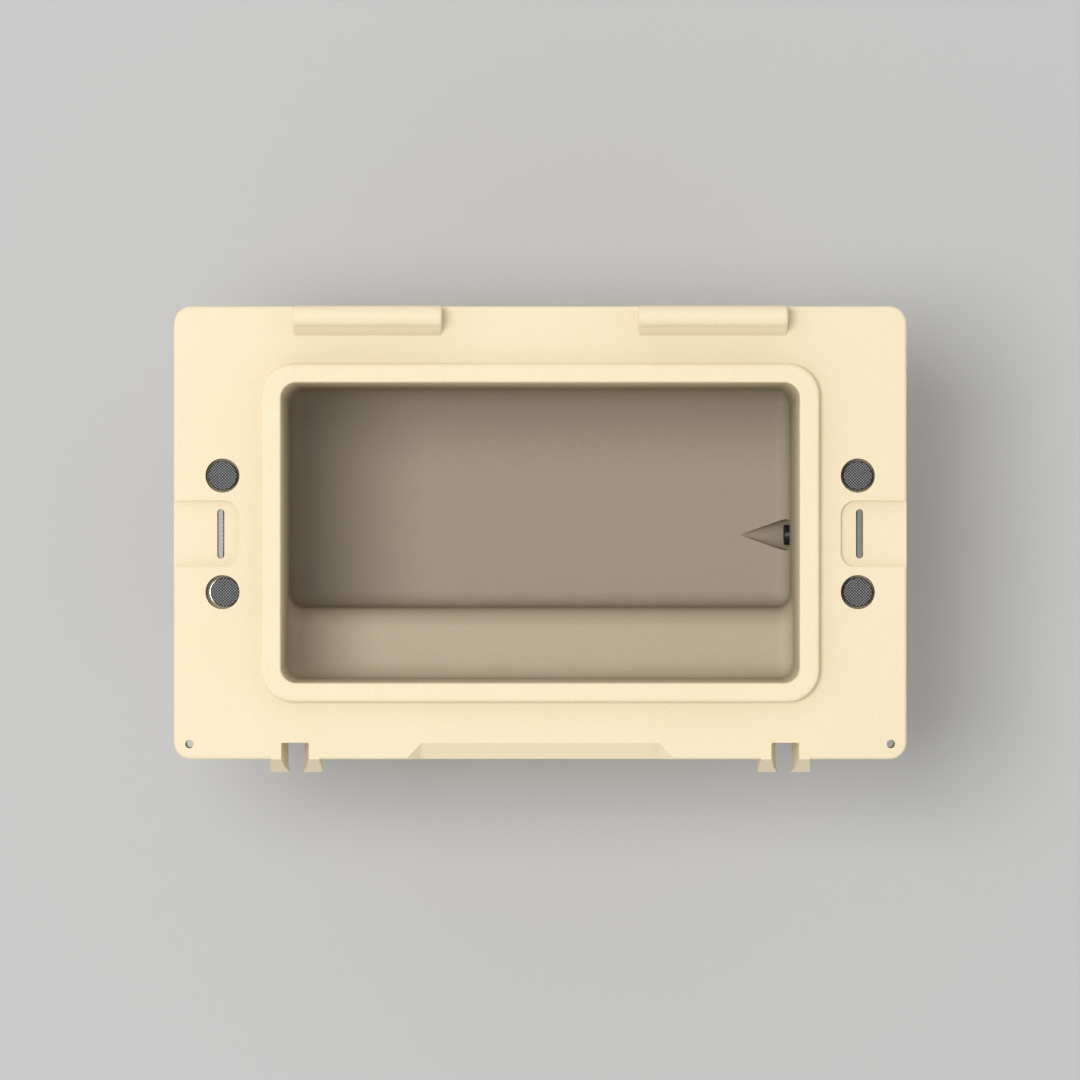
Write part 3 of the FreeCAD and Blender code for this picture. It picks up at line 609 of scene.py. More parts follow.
@dataclass(frozen=True)
class RigidFoam(Finish):
    """Poured polyurethane foam: pale yellow, matt, full of small cells."""

    aged: str = "D8C68C"
    patch_mm: float = 20.0
    cell_mm: float = 1.11
    cell_depth_mm: float = 0.2

    def material(self) -> bpy.types.Material:
        """Builds the foam.

        Returns:
            The material.
        """
        material, tree, shader, where = self.start()
        place = where.outputs["Object"]
        cells = add_node(
            tree, "ShaderNodeTexVoronoi", {"Scale": 1 / (self.cell_mm * MM)}, {"Vector": place}
        )
        bump = add_node(
            tree,
            "ShaderNodeBump",
            {"Strength": 0.6, "Distance": self.cell_depth_mm * MM},
            {"Height": cells.outputs["Distance"]},
        )
        tree.links.new(bump.outputs["Normal"], shader.inputs["Normal"])
        mottled = self.mottle(tree, place, self.patch_mm, self.colour, self.aged)
        tree.links.new(mottled, shader.inputs["Base Color"])
        return material


class Finishes:
    """One of each material, made once and shared by every piece."""

    def __init__(self) -> None:
        """Makes the materials."""
        self.shell = RotomouldedPolyethylene("rotomoulded LLDPE, sand", "D4C5A8", 0.62).material()
        self.plug = MouldedPlastic("moulded polyethylene plug, sand", "DCCBA4", 0.5, "D2BF96").material()
        self.foam = RigidFoam("poured polyurethane foam", "E4D49C", 0.9).material()
        self.rope = BraidedPolyester("braided polyester, charcoal", "242527", 0.8).material()
        self.grip = Rubber("moulded EPDM grip, black", "161617", 0.62).material()
        self.stop = MouldedPlastic("glass-filled nylon, black", "28282A", 0.6, "2C2C2E").material()
        # Painted highlight: a lighter grey for the upward-facing tops of the knurl pyramids.
        self.crest = MouldedPlastic("glass-filled nylon, scuffed", "6C6D6F", 0.6, "828385").material()
        self.drain = MouldedPlastic("moulded acetal, black", "1B1C20", 0.32, "15161A").material()
        self.rubber = Rubber("moulded EPDM, black", "141414", 0.7).material()
        self.steel = Metal("stainless steel 304, turned", "B8B4AC", 0.3).material()
        self.brass = Metal("brass, turned", "C7A24E", 0.32, "A8873C").material()


# ---------------------------------------------------------------- the shell


@dataclass
class Shell:
    """The moulded shell, its foam, its filling plugs and the inserts for its feet."""

    plug_ring: float = 12.0 * MM
    plug_head: float = 2.3 * MM
    plug_face: float = 0.9 * MM
    plug_stem_share: float = 15 / 19

    def build(self, finishes: Finishes) -> None:
        """Builds and dresses the shell and what is set in it.

        Args:
            finishes: The shared materials.
        """
        shell = refined("body_shell", "shell_moulding")
        dress(shell, finishes.shell, "body")
        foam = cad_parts["foam_core"]
        foam.data.materials.clear()
        foam.data.materials.append(finishes.foam)
        for row in Row:
            self.plug(row, finishes)
        inserts = refined("foot_inserts", "foot_insert_sleeves")
        dress(inserts, finishes.brass, "body")

    def plug(self, row: Row, finishes: Finishes) -> None:
        """Builds one filling plug: a flat head with a raised ring and a gate mark in its middle.

        Args:
            row: Which of the two plugs.
            finishes: The shared materials.
        """
        node = f"foam_plug_{row.name.lower()}"
        low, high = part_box(node)
        radius = (high.x - low.x) / 2
        stem = radius * self.plug_stem_share
        ring, face = self.plug_ring, self.plug_face
        outline = [
            (0.0, 0.5 * MM),
            (1.6 * MM, 0.5 * MM),
            (2.0 * MM, face),
            (ring - 1.2 * MM, face),
            (ring - 0.8 * MM, 0.4 * MM),
            (ring + 0.8 * MM, 0.4 * MM),
            (ring + 1.2 * MM, face),
            (radius - 1.6 * MM, face),
            (radius - 1.2 * MM, 0.1 * MM),
            (radius - 0.3 * MM, 0.0),
            (radius, 0.3 * MM),
            (radius, self.plug_head),
            (stem, self.plug_head),
            (stem, high.z - low.z),
            (0.0, high.z - low.z),
        ]
        origin = Vector(((low.x + high.x) / 2, (low.y + high.y) / 2, low.z))
        plug = turned(f"filling_plug_{row.name.lower()}", outline, origin, Z_AXIS)
        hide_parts(node)
        dress(plug, finishes.plug, "body")


# ---------------------------------------------------------------- rope handles


def smooth_line(points: list[Vector]) -> list[Vector]:
    """Reads a smooth line off a quadratic spline.

    Args:
        points: The spline's control points.

    Returns:
        Closely spaced points along the spline.
    """
    curve = bpy.data.curves.new("route", "CURVE")
    curve.dimensions = "3D"
    curve.resolution_u = 64
    spline = curve.splines.new("NURBS")
    spline.points.add(len(points) - 1)
    for control, point in zip(spline.points, points):
        control.co = (*point, 1.0)
    spline.order_u = 3
    spline.use_endpoint_u = True
    bare = bpy.data.objects.new("route", curve)
    mesh = bpy.data.meshes.new_from_object(bare)
    line = [vertex.co.copy() for vertex in mesh.vertices]
    bpy.data.objects.remove(bare)
    bpy.data.curves.remove(curve)
    bpy.data.meshes.remove(mesh)
    return line


@dataclass
class Line:
    """A smooth line that lies in a plane across X, measured along its length."""

    points: list[Vector]
    along: list[float] = field(default_factory=list)

    def __post_init__(self) -> None:
        """Adds up the length to each point."""
        self.along = [0.0]
        for a, b in zip(self.points, self.points[1:]):
            self.along.append(self.along[-1] + (b - a).length)

    @property
    def length(self) -> float:
        """The line's whole length."""
        return self.along[-1]

    def steps(self, count: int) -> list[float]:
        """Distances that part the line into a number of equal steps, both ends included."""
        return [self.length * step / count for step in range(count + 1)]

    def evenly(self, count: int) -> list[Vector]:
        """Points that part the line into a number of equal steps, both ends included."""
        return [self.at(distance)[0] for distance in self.steps(count)]

    def at(self, distance: float) -> tuple[Vector, Vector]:
        """Finds a place on the line.

        Args:
            distance: How far along the line.

        Returns:
            The point, and the direction across the line in its plane.
        """
        low, high = 0, len(self.along) - 1
        while high - low > 1:
            middle = (low + high) // 2
            if self.along[middle] <= distance:
                low = middle
            else:
                high = middle
        a, b = self.points[low], self.points[high]
        share = (distance - self.along[low]) / max(self.along[high] - self.along[low], 1e-9)
        tangent = (b - a).normalized()
        return a.lerp(b, share), X_AXIS.cross(tangent).normalized()


@dataclass
class RopeHandle:
    """A hanging loop of braided rope with a ribbed grip, and the two stops that hold its ends.

    The route is the rope's own: straight down out of each hole, a slight bulge, and round the bottom.
    """

    side: Side
    rope_d: float = 9.5 * MM
    rope_x: float = 291.7 * MM
    centre_y: float = 5.5 * MM
    half_pitch: float = 53.5 * MM
    flange_z: float = 301.0 * MM
    fixed_z: float = 304.0 * MM
    free_z: float = 287.0 * MM
    path_steps: int = 200
    core_steps: int = 120
    strands: int = 8
    lay_length: float = 31.0 * MM
    strand_d: float = 2.25 * MM
    strand_rise: float = 0.27 * MM
    strand_step: float = 0.9 * MM
    sleeve_length: float = 88.0 * MM
    sleeve_r: float = 5.7 * MM
    sleeve_gap: float = 0.1 * MM
    sleeve_cuts: int = 24
    ring_pitch: float = 4.0 * MM
    ring_depth: float = 0.35 * MM
    plain_end: float = 6.0 * MM
    socket_gap: float = 0.2 * MM
    socket_depth: float = 8.0 * MM
    knurl_pitch: float = 1.9 * MM
    knurl_depth: float = 0.8 * MM
    knurl_foot_share: float = 0.66
    knurl_top_share: float = 0.42
    knurl_margin_share: float = 0.6

    @property
    def name(self) -> str:
        """left or right."""
        return self.side.name.lower()

    @property
    def body(self) -> str:
        """The body that swings."""
        return f"handle_{self.name}"

    def route(self) -> list[Vector]:
        """Lays the rope's route from the rear stop to the front one.

        Returns:
            The control points of the route's spline.
        """
        half = [
            (53.5, 326.3),
            (53.5, 295.4),
            (55.5, 262.4),
            (53.5, 229.4),
            (24.0, 183.4),
        ]
        both = half + [(-y, z) for y, z in reversed(half)]
        x = self.side.value * self.rope_x
        return [Vector((x, self.centre_y + y * MM, z * MM)) for y, z in both]

    def build(self, finishes: Finishes) -> None:
        """Builds the rope, the grip, the stops and the washers.

        Args:
            finishes: The shared materials.
        """
        line = Line(smooth_line(self.route()))
        self.rope(line, finishes)
        self.grip(line, finishes)
        for row in Row:
            self.stop(row, finishes)
            name = f"rope_washer_{row.name.lower()}_{self.name}"
            washer = refined(name, name + "_ring")
            dress(washer, finishes.steel, "body")

    def rope(self, line: Line, finishes: Finishes) -> None:
        """Builds the braid: strands wound both ways round a core, each over and under in turn.

        Args:
            line: The rope's centre line.
            finishes: The shared materials.
        """
        distances = line.steps(int(line.length / self.strand_step))
        mid_r = self.rope_d / 2 - self.strand_d / 2 - self.strand_rise
        turn = 2 * math.pi / self.lay_length
        parts = []
        for way in (-1, 1):
            for i in range(self.strands):
                path = []
                for distance in distances:
                    point, across = line.at(distance)
                    sway = math.cos(self.strands * turn * distance)
                    radius = mid_r + way * self.strand_rise * sway
                    angle = 2 * math.pi * i / self.strands + way * turn * distance
                    outward = X_AXIS * math.cos(angle) + across * math.sin(angle)
                    path.append(point + outward * radius)
                parts.append((path, self.strand_d / 2, 1))
        parts.append((line.evenly(self.core_steps), mid_r, 3))
        rope = self.tubes(f"rope_{self.name}", parts)
        rope.data.materials.clear()
        rope.data.materials.append(finishes.rope)
        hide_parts(f"rope_ends_{self.name}", f"rope_loop_{self.name}")
        self.body
        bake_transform(rope)
        LOG.info("%s: %.1f mm long, %d faces", rope.name, line.length / MM, len(rope.data.polygons))

    def tubes(self, name: str, parts: list[tuple[list[Vector], float, int]]) -> bpy.types.Object:
        """Joins round tubes along several paths into one mesh.

        Args:
            name: The object's name.
            parts: For each tube its path, its radius and the fineness of its round.

        Returns:
            The object.
        """
        bm = bmesh.new()
        for path, radius, fineness in parts:
            curve = bpy.data.curves.new("tube", "CURVE")
            curve.dimensions = "3D"
            curve.bevel_depth = radius
            curve.bevel_resolution = fineness
            curve.use_fill_caps = True
            spline = curve.splines.new("POLY")
            spline.points.add(len(path) - 1)
            for control, point in zip(spline.points, path):
                control.co = (*point, 1.0)
            holder = bpy.data.objects.new("tube", curve)
            mesh = bpy.data.meshes.new_from_object(holder)
            bm.from_mesh(mesh)
            bpy.data.objects.remove(holder)
            bpy.data.curves.remove(curve)
            bpy.data.meshes.remove(mesh)
        bmesh.ops.remove_doubles(bm, verts=bm.verts, dist=MERGE_GAP / 2)
        bmesh.ops.recalc_face_normals(bm, faces=bm.faces)
        return object_from(name, bm, 60.0)

    def grip(self, line: Line, finishes: Finishes) -> None:
        """Builds the rubber sleeve straight, with its shallow rings, then bends it round the rope.

        Args:
            line: The rope's centre line.
            finishes: The shared materials.
        """
        half = self.sleeve_length / 2
        bore = self.rope_d / 2 + self.sleeve_gap
        crest = self.sleeve_r
        root = crest - self.ring_depth
        outline = [(bore, -half + 0.4 * MM), (bore + 0.2 * MM, -half), (crest - 0.4 * MM, -half)]
        outline += [(crest, -half + 0.5 * MM), (crest, -half + 4.0 * MM)]
        rings = int((self.sleeve_length - 2 * self.plain_end) / self.ring_pitch)
        start = -rings * self.ring_pitch / 2
        for i in range(rings):
            foot = start + i * self.ring_pitch
            outline += [
                (crest, foot + 0.9 * MM),
                (root, foot + 1.3 * MM),
                (root, foot + 2.3 * MM),
                (crest, foot + 2.7 * MM),
            ]
        outline += [(crest, half - 4.0 * MM), (crest, half - 0.5 * MM), (crest - 0.4 * MM, half)]
        outline += [(bore + 0.2 * MM, half), (bore, half - 0.4 * MM)]
        run = self.sleeve_length - 0.8 * MM
        cuts = self.sleeve_cuts
        outline += [(bore, half - 0.4 * MM - run * i / cuts) for i in range(1, cuts)]
        sleeve = turned(f"grip_sleeve_{self.name}", outline, Vector(), Z_AXIS, steps=40)
        middle = line.length / 2
        for vertex in sleeve.data.vertices:
            point, across = line.at(middle + vertex.co.z)
            vertex.co = point + X_AXIS * vertex.co.x + across * vertex.co.y
        self.outward(sleeve)
        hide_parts(f"grip_{self.name}")
        dress(sleeve, finishes.grip, self.body)

    def outward(self, piece: bpy.types.Object) -> None:
        """Turns a closed piece's faces outwards.

        Args:
            piece: The piece.
        """
        bm = bmesh.new()
        bm.from_mesh(piece.data)
        bmesh.ops.recalc_face_normals(bm, faces=bm.faces)
        bm.to_mesh(piece.data)
        bm.free()

    def stop(self, row: Row, finishes: Finishes) -> None:
        """Builds a rope stop: a round button whose top is knurled in a diamond lattice, the pyramids' flat
        tops painted a lighter grey as a highlight.

        Args:
            row: The front or the rear stop.
            finishes: The shared materials.
        """
        node = f"rope_stop_{row.name.lower()}_{self.name}"
        low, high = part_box(node)
        centre = Vector(((low.x + high.x) / 2, (low.y + high.y) / 2, low.z))
        radius = (high.x - low.x) / 2
        height = high.z - low.z
        socket_r = self.rope_d / 2 + self.socket_gap
        floor = height - self.knurl_depth
        outline = [
            (socket_r, 0.0),
            (radius - 0.5 * MM, 0.0),
            (radius, 0.5 * MM),
            (radius, floor - 0.5 * MM),
            (radius - 0.5 * MM, floor),
            (0.0, floor),
            (0.0, self.socket_depth),
            (socket_r, self.socket_depth),
        ]
        name = f"rope_stop_button_{row.name.lower()}_{self.name}"
        button = turned(name, outline, centre, Z_AXIS)
        crests = self.knurl(button, centre + Vector((0, 0, floor)), radius)
        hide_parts(node)
        dress(button, finishes.stop, "body")
        # Painted highlight: faces that point up, the tops of the pyramids, take the lighter grey.
        button.data.materials.append(finishes.crest)
        for face in button.data.polygons[crests:]:
            face.material_index = 1 if face.normal.z > 0.9 else 0

    def knurl(self, button: bpy.types.Object, foot: Vector, radius: float) -> int:
        """Adds the lattice of small pyramids to a button's top.

        Args:
            button: The button.
            foot: The middle of the button's flat top.
            radius: How far out the lattice reaches.

        Returns:
            How many faces the button had before.
        """
        pitch = self.knurl_pitch
        step = pitch / math.sqrt(2)
        depth = self.knurl_depth
        bm = bmesh.new()
        bm.from_mesh(button.data)
        before = len(bm.faces)
        count = int(radius / pitch) + 1
        for i in range(-count, count + 1):
            for j in range(-count, count + 1):
                offset = Vector(((i + j) * step, (i - j) * step, 0))
                if offset.length > radius - pitch * self.knurl_margin_share:
                    continue
                bmesh.ops.create_cone(
                    bm,
                    cap_ends=True,
                    segments=4,
                    radius1=pitch * self.knurl_foot_share,
                    radius2=pitch * self.knurl_top_share,
                    depth=depth,
                    matrix=Matrix.Translation(foot + offset + Vector((0, 0, depth / 2))),
                )
        bm.to_mesh(button.data)
        bm.free()
        return before


# ---------------------------------------------------------------- drain


@dataclass
class Drain:
    """The drain fitting: gasket, spout with a hose thread, screws, washer and cap."""

    neck_length: float = 16.0 * MM
    flange: float = 4.0 * MM
    tube_r: float = 9.75 * MM
    bore_r: float = 7.5 * MM
    flange_r: float = 25.5 * MM
    crest_r: float = 13.2 * MM
    thread_depth: float = 1.25 * MM
    thread_from: float = 2.6 * MM
    thread_pitch: float = 2.209 * MM
    thread_turns: int = 5
    cap_bore_r: float = 13.6 * MM
    cap_roof: float = 3.5 * MM
    ribs: int = 24
    rib_depth: float = 0.9 * MM

    def build(self, finishes: Finishes) -> None:
        """Builds and dresses the drain.

        Args:
            finishes: The shared materials.
        """
        gasket = refined("drain_gasket", "drain_gasket_ring")
        dress(gasket, finishes.rubber, "body")
        self.spout(finishes)
        PanScrews("drain_screws", "drain_pan_screws", X_AXIS, 3.4 * MM, 2.2 * MM, 1.75 * MM).build(finishes)
        washer = refined("drain_cap_washer", "drain_cap_washer_ring")
        dress(washer, finishes.rubber, "drain_cap_carrier")
        self.cap(finishes)

    def spout(self, finishes: Finishes) -> None:
        """Builds the spout by lathe, and winds the hose thread round its neck.

        Args:
            finishes: The shared materials.
        """
        low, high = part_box("drain_spout")
        centre = Vector((low.x, (low.y + high.y) / 2, (low.z + high.z) / 2))
        length = high.x - low.x
        flange, flange_x = self.flange, length - self.neck_length - self.flange
        tube_r, bore_r, flange_r = self.tube_r, self.bore_r, self.flange_r
        root_r = self.crest_r - self.thread_depth
        outline = [
            (bore_r, 0.6 * MM),
            (bore_r + 0.6 * MM, 0.0),
            (tube_r - 0.8 * MM, 0.0),
            (tube_r, 0.8 * MM),
            (tube_r, flange_x),
            (flange_r - 0.4 * MM, flange_x),
            (flange_r, flange_x + 0.4 * MM),
            (flange_r, flange_x + flange - 1.0 * MM),
            (flange_r - 1.0 * MM, flange_x + flange),
            (root_r + 1.0 * MM, flange_x + flange),
            (root_r, flange_x + flange + 1.0 * MM),
            (root_r, length - 0.8 * MM),
            (root_r - 0.8 * MM, length),
            (bore_r + 0.6 * MM, length),
            (bore_r, length - 0.6 * MM),
        ]
        spout = turned("drain_spout_body", outline, centre, X_AXIS, steps=96)
        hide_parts("drain_spout")
        dress(spout, finishes.drain, "body")
        start = length - self.neck_length + self.thread_from
        thread = self.thread(centre, start, root_r - 0.15 * MM, self.crest_r)
        dress(thread, finishes.drain, "body")

    def thread(self, origin: Vector, start: float, root_r: float, crest_r: float) -> bpy.types.Object:
        """Winds one rounded thread.

        Args:
            origin: A point on the axis.
            start: Where the thread starts, along the axis from the origin.
            root_r: Radius of its foot.
            crest_r: Radius of its top.

        Returns:
            The thread.
        """
        half = self.thread_pitch * 0.42
        section = [
            (root_r, -half),
            (crest_r - 0.2 * MM, -half * 0.38),
            (crest_r, -half * 0.2),
            (crest_r, half * 0.2),
            (crest_r - 0.2 * MM, half * 0.38),
            (root_r, half),
        ]
        bm = bmesh.new()
        corners = [bm.verts.new((radius, 0.0, start + height)) for radius, height in section]
        face = bm.faces.new(corners)
        steps = 40 * self.thread_turns
        bmesh.ops.spin(
            bm,
            geom=[face] + list(face.edges) + list(face.verts),
            cent=(0, 0, 0),
            axis=(0, 0, 1),
            dvec=(0, 0, self.thread_pitch * self.thread_turns / steps),
            angle=2 * math.pi * self.thread_turns,
            steps=steps,
        )
        bmesh.ops.recalc_face_normals(bm, faces=bm.faces)
        bmesh.ops.transform(bm, matrix=placed(origin, X_AXIS), verts=bm.verts)
        return object_from("drain_spout_thread", bm, 50.0)

    def cap(self, finishes: Finishes) -> None:
        """Builds the cap: a lathe-turned cup whose side is drawn in between its finger ribs.

        Args:
            finishes: The shared materials.
        """
        low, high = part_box("drain_cap")
        centre = Vector((low.x, (low.y + high.y) / 2, (low.z + high.z) / 2))
        length = high.x - low.x
        radius = (high.y - low.y) / 2
        bore_r = self.cap_bore_r
        outline = [
            (bore_r, 0.5 * MM),
            (bore_r + 0.5 * MM, 0.0),
            (radius - 0.9 * MM, 0.0),
            (radius - 0.4 * MM, 0.6 * MM),
            (radius, 2.2 * MM),
            (radius, length * 0.3),
            (radius, length * 0.5),
            (radius, length - 4.2 * MM),
            (radius - 0.5 * MM, length - 2.0 * MM),
            (radius - 2.2 * MM, length - 0.3 * MM),
            (radius - 3.2 * MM, length),
            (radius - 5.0 * MM, length),
            (radius - 5.8 * MM, length - 0.8 * MM),
            (radius - 6.8 * MM, length - 1.0 * MM),
            (0.0, length - 1.0 * MM),
            (0.0, length - self.cap_roof),
            (bore_r, length - self.cap_roof),
        ]
        cap = turned("drain_cap_ribbed", outline, centre, X_AXIS, steps=self.ribs * 6)
        limit = radius - 1.0 * MM
        for vertex in cap.data.vertices:
            side = Vector((0, vertex.co.y - centre.y, vertex.co.z - centre.z))
            height = vertex.co.x - low.x
            if side.length < limit or not 1.2 * MM < height < length - 1.2 * MM:
                continue
            angle = math.atan2(side.z, side.y)
            valley = max(0.0, math.cos(self.ribs * angle)) ** 1.5
            vertex.co -= side.normalized() * (valley * self.rib_depth)
        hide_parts("drain_cap")
        dress(cap, finishes.drain, "drain_cap")


@dataclass
class PanScrews:
    """Pan-head screws with six-lobed sockets, where a packed group of screws lies."""

    node: str
    name: str
    axis: Vector
    head_r: float
    head_height: float
    shank_r: float
    crown_share: float = 0.42
    socket_share: float = 0.46
    socket_depth_share: float = 0.6
    lobes: int = 6
    lobe_share: float = 0.16
    tip_share: float = 0.9

    def build(self, finishes: Finishes) -> None:
        """Builds and dresses the screws as one piece.

        Args:
            finishes: The shared materials.
        """
        bm = bmesh.new()
        for low, high in islands(self.node):
            reach = abs((high - low).dot(self.axis)) / 2
            screw = self.screw(2 * reach)
            to_place = placed((low + high) / 2 + self.axis * reach, self.axis)
            bmesh.ops.transform(screw, matrix=to_place, verts=screw.verts)
            holder = bpy.data.meshes.new("screw")
            screw.to_mesh(holder)
            screw.free()
            bm.from_mesh(holder)
            bpy.data.meshes.remove(holder)
        piece = object_from(self.name, bm)
        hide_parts(self.node)
        dress(piece, finishes.steel, "body")

    def screw(self, length: float) -> bmesh.types.BMesh:
        """Builds one screw, head up, with the top of its head at the origin.

        Args:
            length: The screw's whole length.

        Returns:
            The screw.
        """
        screw = bmesh.new()
        bmesh.ops.create_cone(
            screw,
            cap_ends=True,
            segments=36,
            radius1=self.head_r,
            radius2=self.head_r,
            depth=self.head_height,
            matrix=Matrix.Translation((0, 0, -self.head_height / 2)),
        )
        screw.faces.ensure_lookup_table()
        crown = max(screw.faces, key=lambda face: face.calc_center_median().z)
        bmesh.ops.bevel(
            screw,
            geom=list(crown.edges),
            offset=self.head_height * self.crown_share,
            segments=4,
            affect="EDGES",
            profile=0.5,
            material=-1,
        )
        crown = max(screw.faces, key=lambda face: face.calc_center_median().z)
        inset = crown.edges[0].verts[0].co.xy.length - self.head_r * self.socket_share
        bmesh.ops.inset_individual(screw, faces=[crown], thickness=inset)
        for vertex in crown.verts:
            angle = math.atan2(vertex.co.y, vertex.co.x)
            vertex.co.xy *= 1 + self.lobe_share * math.cos(self.lobes * angle)
        grown = bmesh.ops.extrude_face_region(screw, geom=[crown])
        sunk = [v for v in grown["geom"] if isinstance(v, bmesh.types.BMVert)]
        bmesh.ops.delete(screw, geom=[crown], context="FACES_ONLY")
        bmesh.ops.translate(screw, verts=sunk, vec=(0, 0, -self.head_height * self.socket_depth_share))
        shank_length = length - self.head_height
        bmesh.ops.create_cone(
            screw,
            cap_ends=True,
            segments=24,
            radius1=self.shank_r * self.tip_share,
            radius2=self.shank_r,
            depth=shank_length,
            matrix=Matrix.Translation((0, 0, -self.head_height - shank_length / 2)),
        )
        bmesh.ops.recalc_face_normals(screw, faces=screw.faces)
        return screw


def islands(node: str) -> list[tuple[Vector, Vector]]:
    """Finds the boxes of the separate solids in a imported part.

    Args:
        node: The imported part.

    Returns:
        The lowest and highest corner of each solid.
    """
    bm = bmesh.new()
    bm.from_mesh(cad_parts[node].data)
    bmesh.ops.remove_doubles(bm, verts=bm.verts, dist=MERGE_GAP)
    unseen = set(bm.verts)
    boxes = []
    while unseen:
        todo = [unseen.pop()]
        found = []
        while todo:
            vertex = todo.pop()
            found.append(vertex.co.copy())
            for edge in vertex.link_edges:
                other = edge.other_vert(vertex)
                if other in unseen:
                    unseen.discard(other)
                    todo.append(other)
        low = Vector([min(p[k] for p in found) for k in range(3)])
        high = Vector([max(p[k] for p in found) for k in range(3)])
        boxes.append((low, high))
    bm.free()
    return sorted(boxes, key=lambda pair: tuple(round(v, 4) for v in pair[0]))


# ---------------------------------------------------------------- feet


@dataclass
class Foot:
    """A rubber foot with grooves in its tread, held by a screw in a sunk seat."""

    row: Row
    side: Side
    seat_r: float = 5.8 * MM
    seat_depth: float = 5.0 * MM
    hole_r: float = 3.3 * MM
    groove: float = 1.2 * MM
    groove_from: float = 8.6 * MM
    groove_pitch: float = 4.2 * MM
    tread_edge: float = 3.6 * MM

    def build(self, finishes: Finishes) -> None:
        """Builds and dresses the foot.

        Args:
            finishes: The shared materials.
        """
        corner = f"{self.row.name.lower()}_{self.side.name.lower()}"
        low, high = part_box(f"foot_{corner}")
        radius = (high.x - low.x) / 2
        height = high.z - low.z
        outline = [(self.hole_r, height), (self.hole_r, self.seat_depth), (self.seat_r, self.seat_depth)]
        outline += [(self.seat_r, 0.5 * MM), (self.seat_r + 0.5 * MM, 0.0)]
        start = self.groove_from
        while start < radius - self.tread_edge:
            outline += [(start, 0.0), (start + 0.4 * MM, self.groove)]
            outline += [(start + 1.3 * MM, self.groove), (start + 1.7 * MM, 0.0)]
            start += self.groove_pitch
        outline += [(radius - 2.0 * MM, 0.0), (radius - 0.6 * MM, 0.6 * MM), (radius, 2.0 * MM)]
        outline += [(radius, height - 0.4 * MM), (radius - 0.4 * MM, height)]
        origin = Vector(((low.x + high.x) / 2, (low.y + high.y) / 2, low.z))
        foot = turned(f"foot_pad_{corner}", outline, origin, Z_AXIS)
        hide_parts(f"foot_{corner}")
        dress(foot, finishes.rubber, "body")


# ---------------------------------------------------------------- studio


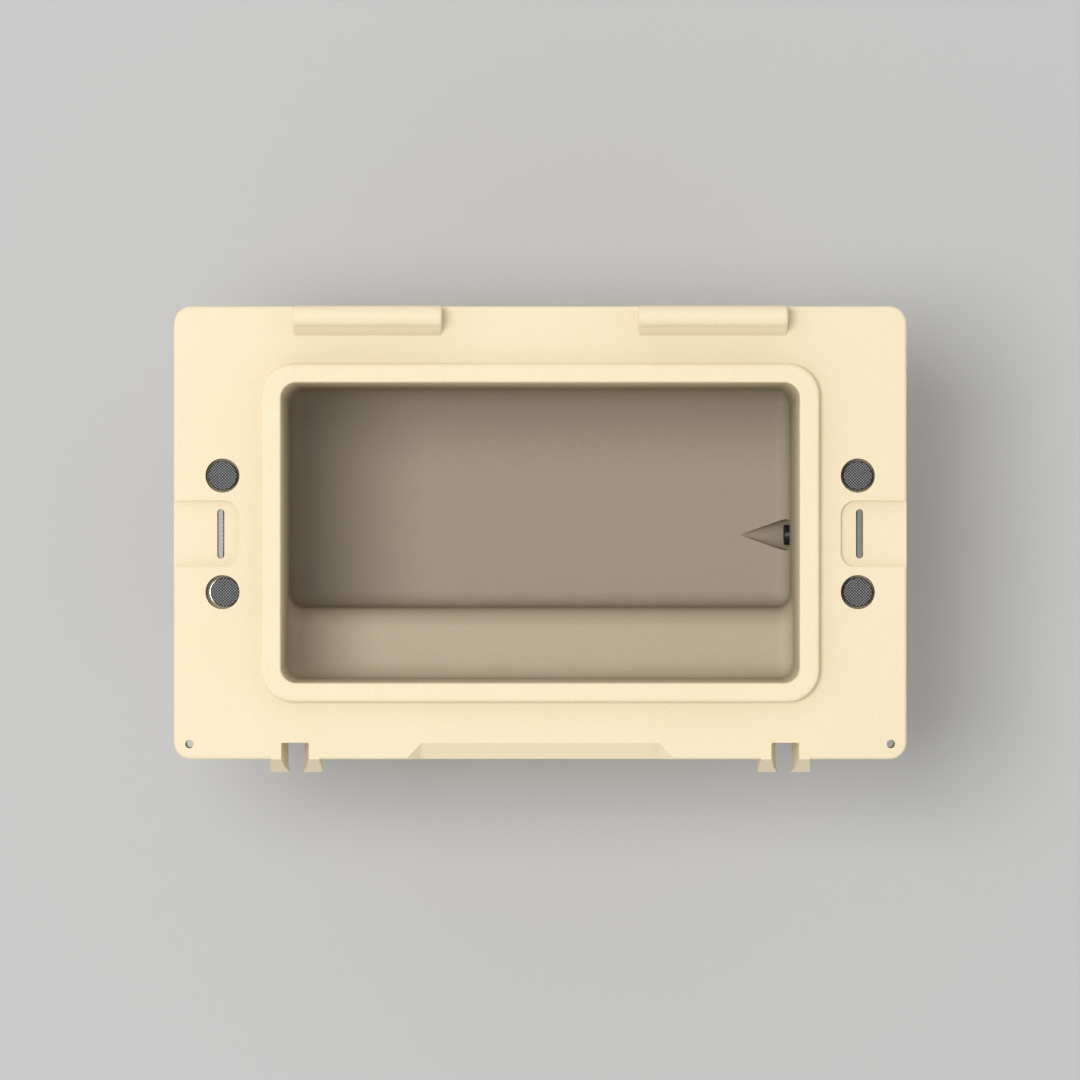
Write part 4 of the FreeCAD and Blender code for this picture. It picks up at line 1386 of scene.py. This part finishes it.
@dataclass
class Studio:
    """Pale floor, soft light from all round, a soft key light high on the left, and the camera."""

    floor_size: float = 40.0
    floor_colour: str = "ACACAC"
    sky_strength: float = 1.65
    sky_middle: float = 0.8
    sky_top: float = 0.19
    key_place: tuple[float, float, float] = (-1.35, 0.35, 5.6)
    key_aim: tuple[float, float, float] = (0.0, 0.0, 0.3)
    key_size: float = 2.6
    key_energy: float = 228.0
    camera_height: float = 7.335
    camera_y: float = 6.5 * MM
    deck_height: float = 0.335
    view_width: float = 0.9916
    shift: tuple[float, float] = (-0.0001389, -0.006713)
    sensor: float = 36.0
    clip_end: float = 60.0

    def build(self) -> None:
        """Builds the floor, the lights and the camera."""
        self.floor()
        self.sky()
        self.key()
        self.camera()
        bpy.context.scene.view_settings.view_transform = "Standard"

    def floor(self) -> None:
        """Lays a plain pale floor."""
        bm = bmesh.new()
        bmesh.ops.create_grid(bm, x_segments=1, y_segments=1, size=self.floor_size / 2)
        floor = object_from("floor", bm)
        material = bpy.data.materials.new("studio floor, matt pale grey")
        material.use_nodes = True
        shader = material.node_tree.nodes["Principled BSDF"]
        shader.inputs["Base Color"].default_value = linear(self.floor_colour)
        shader.inputs["Roughness"].default_value = 0.95
        shader.inputs["Specular IOR Level"].default_value = 0.1
        floor.data.materials.append(material)

    def sky(self) -> None:
        """Lights the scene softly from all round, most from low down, so that hollows stay dark."""
        world = bpy.data.worlds.new("studio")
        bpy.context.scene.world = world
        world.use_nodes = True
        tree = world.node_tree
        tree.nodes.clear()
        where = add_node(tree, "ShaderNodeTexCoord")
        parts = add_node(tree, "ShaderNodeSeparateXYZ", links={0: where.outputs["Generated"]})
        ramp = add_node(tree, "ShaderNodeValToRGB", links={0: parts.outputs["Z"]})
        stops = ramp.color_ramp.elements
        ends = {0.0: stops[0], 1.0: stops[1]}
        greys = {0.0: 1.0, 1.0: self.sky_top, 0.5: self.sky_middle, 0.84: self.sky_top * 1.2}
        for position, grey in greys.items():
            stop = ends[position] if position in ends else stops.new(position)
            stop.color = (grey, grey, grey, 1)
        back = add_node(
            tree, "ShaderNodeBackground", {"Strength": self.sky_strength}, {"Color": ramp.outputs["Color"]}
        )
        add_node(tree, "ShaderNodeOutputWorld", links={"Surface": back.outputs[0]})

    def key(self) -> None:
        """Hangs a large soft light high above, to the left."""
        data = bpy.data.lights.new("key", "AREA")
        data.shape = "DISK"
        data.size = self.key_size
        data.energy = self.key_energy
        lamp = bpy.data.objects.new("key", data)
        lamp.location = self.key_place
        aim = Vector(self.key_aim) - lamp.location
        lamp.rotation_euler = aim.to_track_quat("-Z", "Y").to_euler()
        bpy.context.scene.collection.objects.link(lamp)

    def camera(self) -> None:
        """Puts a long lens straight above the deck's middle."""
        data = bpy.data.cameras.new("camera")
        data.sensor_width = self.sensor
        distance = self.camera_height - self.deck_height
        data.lens = self.sensor * distance / self.view_width
        data.shift_x, data.shift_y = self.shift
        data.clip_end = self.clip_end
        camera = bpy.data.objects.new("camera", data)
        camera.location = (0.0, self.camera_y, self.camera_height)
        bpy.context.scene.collection.objects.link(camera)
        bpy.context.scene.camera = camera


def corners(pair: tuple) -> list[list[float]]:
    """A box as plain lists of numbers."""
    return [[float(v) for v in corner] for corner in pair]


def main() -> None:
    """Builds every sub-assembly in order."""
    logging.basicConfig(level=logging.INFO, format="%(message)s")
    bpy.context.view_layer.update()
    Studio().build()
    finishes = Finishes()
    Shell().build(finishes)
    for side in Side:
        RopeHandle(side).build(finishes)
    Drain().build(finishes)
    for row in Row:
        for side in Side:
            Foot(row, side).build(finishes)
    down = Vector((0, 0, -1))
    PanScrews("foot_screws", "foot_pan_screws", down, 5.5 * MM, 3.3 * MM, 3.0 * MM).build(finishes)


if __name__ == "__main__":
    main()
